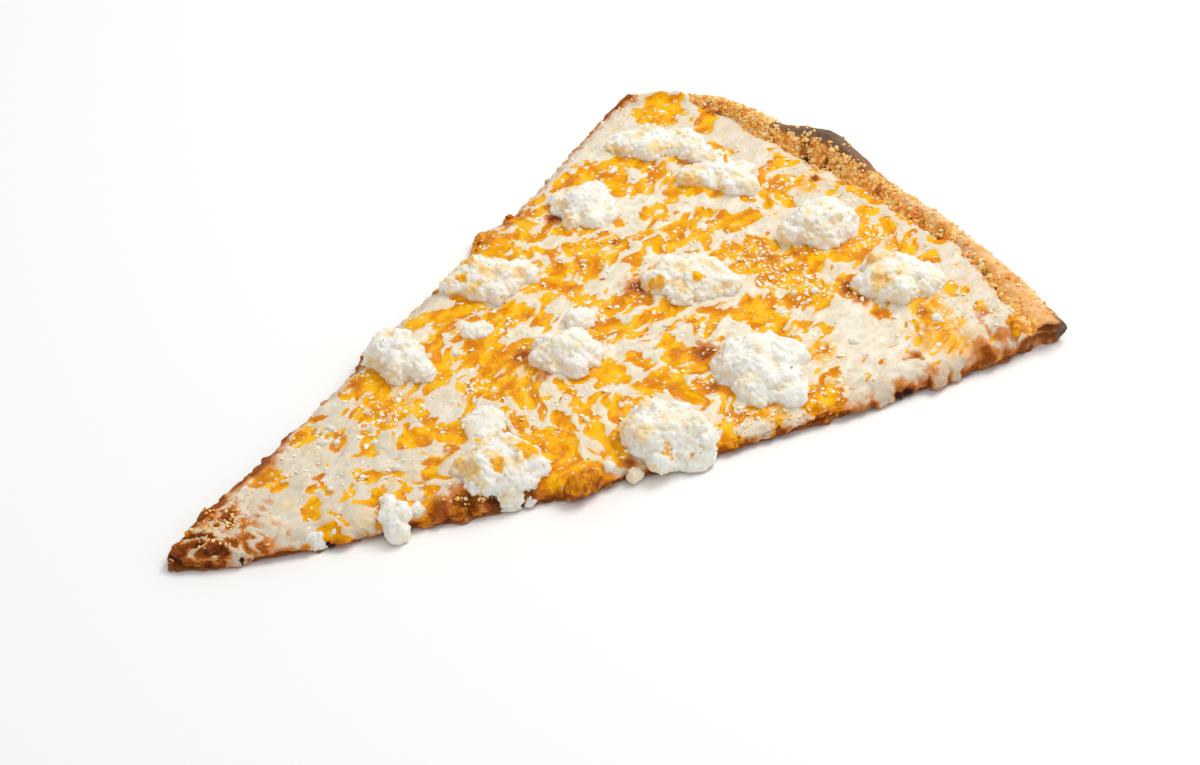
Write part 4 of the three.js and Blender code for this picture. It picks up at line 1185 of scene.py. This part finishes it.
# ------------------------------------------------------------------ scattered bits
def pebbles(places, lengths, stretch, thickness, tilt, seed):
    """Joined little twenty-faced grains: each is stretched, flattened, jittered, turned about
    the upright, tilted and moved to its place. Returns points, faces and a number for each
    grain, repeated for its points."""
    rng = np.random.default_rng(seed)
    golden = (1 + math.sqrt(5)) / 2
    corners = [(a, b * golden, 0) for a in (-1, 1) for b in (-1, 1)]
    base = np.array([p[k:] + p[:k] for k in (0, 2, 1) for p in corners]) / math.hypot(1, golden)
    gaps = np.linalg.norm(base[:, None] - base[None], axis=-1)
    near = (gaps > 0) & (gaps < 1.2)
    faces = []
    for i in range(12):
        for j in range(i + 1, 12):
            for k in range(j + 1, 12):
                if near[i, j] and near[j, k] and near[i, k]:
                    out = np.dot(np.cross(base[j] - base[i], base[k] - base[i]), base[i]) > 0
                    faces.append((i, j, k) if out else (i, k, j))
    count = len(places)
    spin = rng.uniform(0, math.pi, count)
    lean = tilt * rng.normal(size=(2, count))
    turn = np.stack([np.cos(spin), *lean, np.sin(spin)], -1)
    turn /= np.linalg.norm(turn, axis=1, keepdims=True)
    w, x, y, z = turn.T
    rotate = np.stack(
        [
            np.stack([1 - 2 * (y * y + z * z), 2 * (x * y - w * z), 2 * (x * z + w * y)], -1),
            np.stack([2 * (x * y + w * z), 1 - 2 * (x * x + z * z), 2 * (y * z - w * x)], -1),
            np.stack([2 * (x * z - w * y), 2 * (y * z + w * x), 1 - 2 * (x * x + y * y)], -1),
        ],
        1,
    )
    shape = rng.uniform(*stretch, size=(count, 1, 3)) * (lengths[:, None, None] / 2)
    shape[..., 2] *= thickness
    jitter = rng.uniform(0.5, 1.3, size=(count, 12, 1))
    local = base[None] * jitter * shape
    points = np.einsum("nij,nkj->nki", rotate, local) + places[:, None]
    index = np.array(faces)[None] + 12 * np.arange(count)[:, None, None]
    tone = np.repeat(rng.uniform(size=count), 12)
    return points.reshape(-1, 3), index.reshape(-1, 3), tone


def strew(count, density, seed, reach):
    """Random radii and angles, even over the slice, kept where a random draw is under the
    density at the place."""
    rng = np.random.default_rng(seed)
    r = np.sqrt(rng.uniform(reach[0] ** 2, reach[1] ** 2, count))
    v = rng.uniform(-1, 1, count)
    phi = angle_across(r, v * 0.985)
    keep = rng.uniform(size=count) < density(r, phi)
    return r[keep], phi[keep]


def grated_grains(material):
    """Fine white grated cheese, thick in drifts, sparse elsewhere and thinner off the orange,
    one joined piece."""

    def density(r, phi):
        place = plan(r, phi)
        patchy = smooth(fractal(place, 9, 131, 2), -0.15, 0.75)
        clumps = 0.35 + 0.9 * smooth(noise(place, 2.4, 135), -0.1, 0.4)
        drift = np.maximum(dabs(place, DRIFTS), 0.1 + 0.3 * patchy) * clumps
        orange = 0.55 + 0.45 * smooth(strand_field(place, SHREDS), -1, 0.5)
        lumps = 1 - 0.93 * in_lumps(place, 0.3)
        return drift * orange * lumps * smooth(r, 22, 40) * smooth(depth_from_cut(r, phi), 0.5, 3)

    r, phi = strew(GRAIN_TRIES, density, 132, (20, CRUMB_REACH))
    rng = np.random.default_rng(133)
    length = 0.5 + 2.3 * rng.beta(0.8, 4.0, len(r))
    z = cheese_top(r, phi) + 0.02 * length
    points, faces, tone = pebbles(to_frame(plan(r, phi), z), length, (0.55, 1.15), 0.42, 0.14, 134)
    return add_piece("grated_grains", points, faces, (), {"tone": tone}, material, False)


def toasted_crumbs(material):
    """Golden grated cheese toasted onto the rim and onto the fried edges, one joined piece."""
    rng = np.random.default_rng(141)
    v = rng.uniform(-0.97, 0.99, CRUMB_TRIES)
    q = rng.uniform(0.02, 0.98, CRUMB_TRIES) ** 1.1
    phi = angle_across(np.full(CRUMB_TRIES, 224.0), v)
    w = np.arcsin(q) / (math.pi / 2)
    r, top, _, q = crust_section(BASE_SHARE + (1 - BASE_SHARE) * w, phi)
    place = plan(r, phi)
    thick = rim_band(q, phi, place) * (0.15 + 0.85 * smooth(fractal(place, 3.4, 143, 2), -0.1, 0.25))
    lonely = 0.05 * (q < 0.9) * (1 - 0.9 * smooth(bubble(phi), 0.05, 0.4))
    cover = RIM_CRUMBS - 0.25 * smooth(-np.degrees(phi), 0, 5) + 0.25 * bubble(phi)
    keep = rng.uniform(size=CRUMB_TRIES) < np.maximum(thick * cover, lonely)
    spots = to_frame(place[keep], top[keep] + 0.05)
    length = 0.7 + 1.9 * rng.beta(1.0, 3.0, len(spots))

    def density(r, phi):
        return dabs(plan(r, phi), CRUMB_BEDS)

    bed_r, bed_phi = strew(BED_TRIES, density, 144, (10, CRUMB_REACH))
    bed_length = 0.5 + 1.2 * rng.beta(1.3, 3.5, len(bed_r))
    bed_spots = to_frame(plan(bed_r, bed_phi), cheese_top(bed_r, bed_phi) + 0.12)
    places = np.concatenate([spots, bed_spots])
    lengths = np.concatenate([length, bed_length])
    points, faces, tone = pebbles(places, lengths, (0.7, 1.15), 0.6, 0.3, 145)
    return add_piece("toasted_crumbs", points, faces, (), {"tone": tone}, material, False)


def crisp_crumbs(stretches, side, seed):
    """Crisp crumbs at random along a cut; a stretch is its radius, spread, number, size in
    millimetres and how brown it is."""
    rng = np.random.default_rng(seed)
    crumbs = []
    for at, spread, number, size_mm, brown in stretches:
        for _ in range(number):
            r = max(at + spread * rng.normal(), TIP_RADIUS + 3)
            edge = float(angle_across(np.array([r]), np.array([float(side)]))[0])
            phi = edge - side * rng.uniform(-0.2, 1.1) / r
            wide = size_mm * rng.uniform(0.55, 1.3)
            z = rng.uniform(0.7, 3.0) if side < 0 else rng.uniform(1.4, 4.2)
            turn = math.degrees(phi) + rng.normal() * 25
            toast = brown + 0.2 * rng.normal()
            crumbs.append(Bit(*plan(r, phi), 1.5 * wide, wide, 0.8 * wide, turn, toast, z, ()))
    return crumbs


def joined(items, seed, step, sags=True):
    """Many small crumbly mounds as one mesh: points, faces, relief and the owner of each point."""
    points, faces, relief, owner, count = [], [], [], [], 0
    for k, item in enumerate(items):
        r, phi = math.hypot(item.along, item.across), math.atan2(item.across, item.along)
        z = float(cheese_top(np.array([r]), np.array([phi]))[0]) - 0.1 if item.z is None else item.z
        bed = np.array([PIE_CENTRE_X + item.along, item.across, z])
        p, f, c = curds(item, seed + k, bed, step, sags=sags)
        points.append(p)
        faces.append(f + count)
        relief.append(c)
        owner.append(np.full(len(p), k))
        count += len(p)
    return np.concatenate(points), np.concatenate(faces), np.concatenate(relief), np.concatenate(owner)


def ricotta_bits(material):
    """Small crumbs of ricotta on the cheese and down the near cut, one joined piece."""
    points, faces, relief, owner = joined(BITS, 600, BIT_STEP)
    toast = np.array([bit.toast for bit in BITS])[owner] * (0.6 + 0.6 * smooth(relief, 0, 0.8))
    attributes = {"curd": relief, "toast": toast, "stain": 0 * toast}
    return add_piece("ricotta_bits", points, faces, (), attributes, material)


def fried_bits(material):
    """Nuggets of cheese fried at the edges, and crisp brown crumbs, one joined piece."""
    bits = [*NUGGETS, *crisp_crumbs(CRISP_NEAR, -1, 711), *crisp_crumbs(CRISP_FAR, 1, 712)]
    points, faces, relief, owner = joined(bits, 720, CRISP_STEP, False)
    toast = np.array([bit.toast for bit in bits])[owner]
    height = points[:, 2] - np.array([bit.z for bit in bits])[owner]
    fried = toast + 0.4 * noise(points, 1.6, 702)
    fried = fried - 0.15 * smooth(height, 0, 2.5) - 0.2 * smooth(relief, 0, 0.5)
    none = np.zeros(len(points))
    attributes = {
        "cheddar": none + 2,
        "thick": none,
        "flow": points * [0.5, 1, 1],
        "blush": none + 0.6,
        "fried": fried,
        "speckle": none,
        "grey_and_cut_shade": none,
    }
    return add_piece("fried_bits", points, faces, (), attributes, material)


# ------------------------------------------------------------------ materials
class Recipe:
    """A node material on Object coordinates, put together one node at a time."""

    def __init__(self, name):
        self.material = bpy.data.materials.new(name)
        self.material.use_nodes = True
        self.tree = self.material.node_tree
        self.tree.nodes.clear()
        self.place = self.add("ShaderNodeTexCoord").outputs["Object"]
        self.normal = None

    def add(self, kind, **settings):
        """A new node of a kind, with its settings."""
        node = self.tree.nodes.new(kind)
        for key, value in settings.items():
            setattr(node, key, value)
        return node

    def feed(self, socket, value):
        """Gives a socket either another node's output or a constant."""
        if isinstance(value, bpy.types.NodeSocket):
            self.tree.links.new(value, socket)
        else:
            socket.default_value = value

    def attribute(self, name):
        """A number that the mesh holds at each point."""
        return self.add("ShaderNodeAttribute", attribute_name=name).outputs["Fac"]

    def noise(self, spacing, detail=3.0, shift=0.0, rough=0.5):
        """Noise from 0 to 1 whose features are `spacing` millimetres across."""
        moved = self.add("ShaderNodeVectorMath", operation="ADD")
        self.feed(moved.inputs[0], self.place)
        moved.inputs[1].default_value = (shift, 0.37 * shift, 0.71 * shift)
        node = self.add("ShaderNodeTexNoise")
        self.feed(node.inputs["Vector"], moved.outputs[0])
        node.inputs["Scale"].default_value = 1 / (spacing * MM)
        node.inputs["Detail"].default_value = detail
        node.inputs["Roughness"].default_value = rough
        return node.outputs["Fac"]

    def drawn(self, spacing, stretch, detail=2.0, shift=0.0, rough=0.5):
        """Noise from 0 to 1 drawn out along the flow, `stretch` times as long as wide."""
        run = self.add("ShaderNodeAttribute", attribute_name="flow").outputs["Vector"]
        scaled = self.add("ShaderNodeVectorMath", operation="MULTIPLY_ADD")
        self.feed(scaled.inputs[0], run)
        scaled.inputs[1].default_value = (1 / (spacing * stretch), 1 / spacing, 1 / spacing)
        scaled.inputs[2].default_value = (shift, 0.37 * shift, 0.71 * shift)
        node = self.add("ShaderNodeTexNoise")
        self.feed(node.inputs["Vector"], scaled.outputs[0])
        node.inputs["Scale"].default_value = 1.0
        node.inputs["Detail"].default_value = detail
        node.inputs["Roughness"].default_value = rough
        return node.outputs["Fac"]

    def math(self, operation, a, b):
        """One sum of two values, such as ADD or MULTIPLY."""
        node = self.add("ShaderNodeMath", operation=operation)
        self.feed(node.inputs[0], a)
        self.feed(node.inputs[1], b)
        return node.outputs[0]

    def wobbled(self, value, texture, strength):
        """value + (texture - 0.5) * strength."""
        centred = self.math("SUBTRACT", texture, 0.5)
        return self.math("ADD", value, self.math("MULTIPLY", centred, strength))

    def spread(self, value, low, high, bottom=0.0, top=1.0):
        """Smoothly from `bottom` where value is low to `top` where it is high."""
        node = self.add("ShaderNodeMapRange", interpolation_type="SMOOTHSTEP")
        for socket, number in zip(node.inputs[:5], (value, low, high, bottom, top)):
            self.feed(socket, number)
        return node.outputs[0]

    def blend(self, a, b, share):
        """Colour a, giving way to colour b as share goes from 0 to 1."""
        node = self.add("ShaderNodeMix", data_type="RGBA")
        for socket, value in zip((node.inputs[6], node.inputs[7]), (a, b)):
            self.feed(socket, value if isinstance(value, bpy.types.NodeSocket) else (*value, 1))
        self.feed(node.inputs[0], share)
        return node.outputs[2]

    def bump(self, height, deep):
        """Adds relief of `deep` millimetres to the shading normal."""
        node = self.add("ShaderNodeBump")
        node.inputs["Strength"].default_value = 1.0
        node.inputs["Distance"].default_value = deep * MM
        self.feed(node.inputs["Height"], height)
        if self.normal:
            self.feed(node.inputs["Normal"], self.normal)
        self.normal = node.outputs[0]

    def finish(self, colour, roughness, **sockets):
        """Principled surface; further sockets are named with _ for a space."""
        shader = self.add("ShaderNodeBsdfPrincipled")
        self.feed(shader.inputs["Base Color"], colour)
        self.feed(shader.inputs["Roughness"], roughness)
        for name, value in sockets.items():
            shader.inputs[name.replace("_", " ")].default_value = value
        if self.normal:
            self.feed(shader.inputs["Normal"], self.normal)
        out = self.add("ShaderNodeOutputMaterial")
        self.feed(out.inputs["Surface"], shader.outputs[0])
        return self.material


def cheese_material():
    """Pale mozzarella with pools of orange cheddar, browned where it has fried, with painted shade along the
    near cut, in the hollows of the folds and beside some ricotta lumps.
    """
    c, m = colours(), Recipe("melted_cheese")
    soft, fine = m.noise(3.2, 4), m.noise(0.7, 3, 2)
    strand = m.wobbled(m.attribute("cheddar"), m.drawn(2.1, 2.4, 1, 5, 0.45), 3.8)
    strand = m.wobbled(strand, m.drawn(0.9, 1.6, 1, 25), 0.7)
    orange = m.spread(strand, -0.14, 0.2)
    milk = m.blend(c.mozzarella, c.mozzarella_bright, m.spread(m.drawn(2.4, 2.5, 4, 7, 0.6), 0.42, 0.62))
    milk = m.blend(milk, c.mozzarella_grey_and_shade, m.spread(m.noise(2.2, 4, 21, 0.6), 0.5, 0.75, 0, 0.5))
    # Grey mozzarella towards the point and the rim, and painted shade along the cuts.
    grey_and_cut_shade = m.math("MULTIPLY", m.attribute("grey_and_cut_shade"), m.spread(m.noise(11, 3, 9), 0.2, 0.6, 0.2, 0.8))
    milk = m.blend(milk, c.mozzarella_grey_and_shade, grey_and_cut_shade)
    stain = m.math("MULTIPLY", m.attribute("blush"), m.spread(soft, 0.3, 0.62))
    milk = m.blend(milk, c.blush, m.math("MULTIPLY", stain, 0.8))
    thick = m.wobbled(m.attribute("thick"), m.drawn(1.5, 1.2, 5, 11, 0.6), 2.3)
    gold = m.blend(c.cheddar_deep, c.cheddar, m.spread(thick, -0.55, 0.45))
    gold = m.blend(gold, c.toasted, m.spread(thick, -1.0, -0.3, 0.75, 0))
    gold = m.blend(gold, c.cheddar_bright, m.spread(thick, 0.2, 0.8))
    gold = m.blend(gold, c.blush, m.spread(thick, 1.1, 1.5, 0, 0.6))
    speckle = m.wobbled(m.attribute("speckle"), m.noise(4, 3, 33), 1.6)
    speckle = m.math("MULTIPLY", m.spread(speckle, 0.2, 0.8), m.spread(m.noise(1.0, 4, 31, 0.6), 0.3, 0.56))
    milk = m.blend(milk, c.speckle, speckle)
    base = m.blend(milk, gold, orange)
    # The fried mask is browning, and painted shade down the near cut, in the folds' hollows and beside some
    # lumps.
    fried = m.wobbled(m.attribute("fried"), m.noise(2.6, 5, 17, 0.6), 1.2)
    fried = m.wobbled(fried, m.noise(0.8, 3, 27, 0.6), 0.4)
    base = m.blend(base, c.toasted, m.spread(fried, 0.22, 0.62, 0, 0.9))
    base = m.blend(base, c.fried, m.spread(fried, 0.6, 0.95))
    base = m.blend(base, c.scorched, m.spread(fried, 1.0, 1.35))
    m.bump(m.drawn(1.6, 2, 4, 19), 0.4)
    m.bump(strand, -0.1)
    m.bump(fine, 0.12)
    gloss = m.spread(m.wobbled(orange, soft, 0.8), 0, 1, 0.46, 0.28)
    return m.finish(
        base, gloss, Subsurface_Weight=0.1, Subsurface_Radius=(1, 0.7, 0.4), Subsurface_Scale=0.001,
        Specular_IOR_Level=0.13, Specular_Tint=(1, 0.86, 0.6, 1),
    )


def crust_material():
    """Baked dough, from pale gold to dark brown, glazed with toasted cheese where crumbs lie,
    and charred over a brown halo on the bubble; the underside is tan with brown spots and a
    dusting of flour."""
    c, m = colours(), Recipe("baked_crust")
    bake_and_pore_shade = m.wobbled(m.attribute("bake_and_pore_shade"), m.noise(3.5, 5, 3, 0.6), 0.55)
    bake_and_pore_shade = m.wobbled(bake_and_pore_shade, m.noise(0.8, 3, 5), 0.25)
    spots = m.spread(m.noise(9, 4, 7, 0.62), 0.5, 0.66)
    spots = m.math("MULTIPLY", spots, m.attribute("below"))
    bake_and_pore_shade = m.math("ADD", bake_and_pore_shade, m.math("MULTIPLY", spots, 0.5))
    base = m.blend(c.dough, c.crust, m.spread(bake_and_pore_shade, 0.15, 0.42))
    sugary = m.math("MULTIPLY", m.attribute("crumbs"), m.spread(m.noise(1.5, 3, 17, 0.6), 0.46, 0.58))
    base = m.blend(base, c.glaze, m.math("MULTIPLY", m.attribute("crumbs"), 0.9))
    base = m.blend(base, c.crumb, sugary)
    base = m.blend(base, c.crust_dark, m.spread(bake_and_pore_shade, 0.5, 0.85))
    base = m.blend(base, c.scorched, m.spread(bake_and_pore_shade, 0.95, 1.3))
    burnt = m.wobbled(m.attribute("char"), m.noise(4.5, 6, 9, 0.68), 1.3)
    base = m.blend(base, c.crust_dark, m.spread(burnt, 0.12, 0.5, 0, 0.85))
    base = m.blend(base, c.char, m.spread(burnt, 0.36, 0.72))
    base = m.blend(base, c.scorched, m.spread(burnt, 0.95, 1.5, 0, 0.75))
    flour = m.math("MULTIPLY", m.spread(m.noise(5, 5, 11, 0.7), 0.52, 0.75), m.attribute("below"))
    base = m.blend(base, c.flour, m.math("MULTIPLY", flour, 0.55))
    m.bump(m.noise(1.5, 5, 13, 0.6), 0.4)
    m.bump(m.noise(0.4, 2, 15), 0.1)
    return m.finish(base, 0.68, Specular_IOR_Level=0.25)


def ricotta_material():
    """White curds with warm painted shade in the creases, and pale gold where they have toasted; the gold,
    stronger on each lump's side away from the key light, is warm painted shade there as well.
    """
    c, m = colours(), Recipe("ricotta")
    curd = m.wobbled(m.attribute("curd"), m.noise(1.2, 3, 3), 0.6)
    # Painted shade: the crease colour where the curd relief is low.
    base = m.blend(c.ricotta_crease_shade, c.ricotta, m.spread(curd, -0.35, 0.35))
    # Toast: browned spots, and warm painted shade on each lump's side away from the key light.
    toast = m.wobbled(m.attribute("toast"), m.noise(1.6, 5, 5, 0.65), 1.1)
    base = m.blend(base, c.ricotta_toast, m.spread(toast, 0.25, 1.0, 0, 0.85))
    base = m.blend(base, c.speckle, m.spread(toast, 0.95, 1.4, 0, 0.7))
    stain = m.wobbled(m.attribute("stain"), m.noise(1.5, 5, 9, 0.65), 1.8)
    base = m.blend(base, c.speckle, m.spread(stain, 0.4, 0.8))
    base = m.blend(base, c.cheddar, m.spread(stain, 0.75, 1.1))
    freckle = m.spread(m.noise(1.1, 2, 13), 0.7, 0.74, 0, 0.9)
    base = m.blend(base, c.toasted, freckle)
    m.bump(m.noise(0.8, 4, 7, 0.65), 0.28)
    return m.finish(
        base, 0.6, Subsurface_Weight=0.6, Subsurface_Radius=(1, 0.9, 0.7), Subsurface_Scale=0.002,
        Specular_IOR_Level=0.2,
    )


def grain_material():
    """Fine grated hard cheese, white to cream."""
    c, m = colours(), Recipe("grated_grains")
    base = m.blend(c.grain, c.grain_cream, m.attribute("tone"))
    return m.finish(base, 0.6, Specular_IOR_Level=0.2)


def crumb_material():
    """Grated cheese toasted from pale gold to brown."""
    c, m = colours(), Recipe("toasted_crumbs")
    tone = m.wobbled(m.attribute("tone"), m.noise(5, 3, 3), 0.9)
    base = m.blend(c.crumb_pale, c.crumb, m.spread(tone, 0.1, 0.5))
    base = m.blend(base, c.crumb_brown, m.spread(tone, 0.7, 1.05))
    m.bump(m.noise(0.5, 2, 5), 0.12)
    return m.finish(base, 0.5, Specular_IOR_Level=0.3)


def floor_material():
    """Even pale floor with a trace of tooth."""
    m = Recipe("pale_floor")
    m.bump(m.noise(3, 2), 0.02)
    return m.finish((*bpy.context.scene.pizza_stage.floor, 1), 0.8)


# ------------------------------------------------------------------ stage
def aim(thing, place, target):
    """Puts a light at a place, in metres, and turns it to face the target."""
    thing.location = place
    thing.rotation_euler = (Vector(target) - Vector(place)).to_track_quat("-Z", "Y").to_euler()


def add_light(name, bearing, height, distance, width, power, tint=(1, 1, 1)):
    """Square area light, at a bearing and height angle in degrees as seen from the slice."""
    lamp = bpy.data.lights.new(name, "AREA")
    lamp.energy, lamp.size, lamp.color = power, width, tint
    light = bpy.data.objects.new(name, lamp)
    bpy.context.scene.collection.objects.link(light)
    a, e = math.radians(bearing), math.radians(height)
    place = distance * np.array([math.cos(a) * math.cos(e), math.sin(a) * math.cos(e), math.sin(e)])
    aim(light, place, (0, 0, 0))


def build_stage():
    """Floor just under the slice, a soft key from behind on the right, fill and camera."""
    stage, scene = bpy.context.scene.pizza_stage, bpy.context.scene
    reach, drop = 3.0, -0.0001
    mesh = bpy.data.meshes.new("floor")
    corners = [(x * reach, y * reach, drop) for x, y in ((-1, -1), (1, -1), (1, 1), (-1, 1))]
    mesh.from_pydata(corners, [], [(0, 1, 2, 3)])
    mesh.materials.append(floor_material())
    floor = bpy.data.objects.new("floor", mesh)
    scene.collection.objects.link(floor)

    add_light("key", -2, 56, 0.9, 0.42, stage.key_power, (1, 0.985, 0.96))
    add_light("top", -60, 78, 0.9, 0.7, stage.fill_power)
    add_light("front", -135, 35, 1.0, 0.8, stage.front_power)
    world = bpy.data.worlds.new("studio")
    world.use_nodes = True
    background = world.node_tree.nodes["Background"]
    background.inputs["Color"].default_value = (1, 1, 1, 1)
    background.inputs["Strength"].default_value = stage.sky
    scene.world = world

    data = bpy.data.cameras.new("camera")
    data.lens, data.sensor_width = stage.lens, 36
    data.clip_start, data.clip_end = 0.01, 20
    camera = bpy.data.objects.new("camera", data)
    scene.collection.objects.link(camera)
    az, el = stage.camera_azimuth, stage.camera_elevation
    back = Vector((math.sin(az) * math.cos(el), -math.cos(az) * math.cos(el), math.sin(el)))
    camera.location = Vector((*stage.camera_target, 0)) * MM + back * stage.camera_distance
    camera.rotation_euler = (math.pi / 2 - el, 0, az)
    scene.camera = camera
    scene.view_settings.view_transform = "Standard"


# ------------------------------------------------------------------ operators
class PIZZA_OT_crust(Operator):
    """Builds the baked crust in place of its solid"""

    bl_idname = "pizza.crust"
    bl_label = "Crust"

    def execute(self, context):
        baked_crust(crust_material())
        return {"FINISHED"}


class PIZZA_OT_cheese(Operator):
    """Builds the melted cheese in place of its solid"""

    bl_idname = "pizza.cheese"
    bl_label = "Melted cheese"

    def execute(self, context):
        material = cheese_material()
        melted_cheese(material)
        fried_bits(material)
        return {"FINISHED"}


class PIZZA_OT_ricotta(Operator):
    """Builds every lump of ricotta in place of its solid, and the small bits around them"""

    bl_idname = "pizza.ricotta"
    bl_label = "Ricotta"

    def execute(self, context):
        material = ricotta_material()
        for index, lump in enumerate(RICOTTA, 1):
            ricotta_lump(lump, index, material)
        ricotta_bits(material)
        return {"FINISHED"}


class PIZZA_OT_grated(Operator):
    """Strews fine grated cheese over the slice and toasted crumbs over the rim"""

    bl_idname = "pizza.grated"
    bl_label = "Grated cheese"

    def execute(self, context):
        grated_grains(grain_material())
        toasted_crumbs(crumb_material())
        return {"FINISHED"}


class PIZZA_OT_stage(Operator):
    """Lays the pale floor and sets the lights and the camera"""

    bl_idname = "pizza.stage"
    bl_label = "Stage"

    def execute(self, context):
        build_stage()
        return {"FINISHED"}


class PIZZA_PT_slice(Panel):
    """Sizes, colours and the steps that build the slice"""

    bl_idname = "PIZZA_PT_slice"
    bl_label = "Cheese pizza slice"
    bl_space_type = "VIEW_3D"
    bl_region_type = "UI"
    bl_category = "Pizza"

    def draw(self, context):
        for step in STEPS:
            self.layout.operator(step.bl_idname)
        for group in (context.scene.slice_sizes, context.scene.slice_colours, context.scene.pizza_stage):
            box = self.layout.box()
            for name in group.__annotations__:
                box.prop(group, name)


STEPS = (PIZZA_OT_crust, PIZZA_OT_cheese, PIZZA_OT_ricotta, PIZZA_OT_grated, PIZZA_OT_stage)
GROUPS = {"slice_sizes": SliceSizes, "slice_colours": SliceColours, "pizza_stage": StageSettings}


def register():
    for kind in (*GROUPS.values(), *STEPS, PIZZA_PT_slice):
        bpy.utils.register_class(kind)
    for name, kind in GROUPS.items():
        setattr(bpy.types.Scene, name, PointerProperty(type=kind))


def unregister():
    for name in GROUPS:
        delattr(bpy.types.Scene, name)
    for kind in (PIZZA_PT_slice, *reversed(STEPS), *GROUPS.values()):
        bpy.utils.unregister_class(kind)


def main():
    register()
    for step in STEPS:
        getattr(bpy.ops.pizza, step.bl_idname.split(".")[1])()


if __name__ == "__main__":
    main()
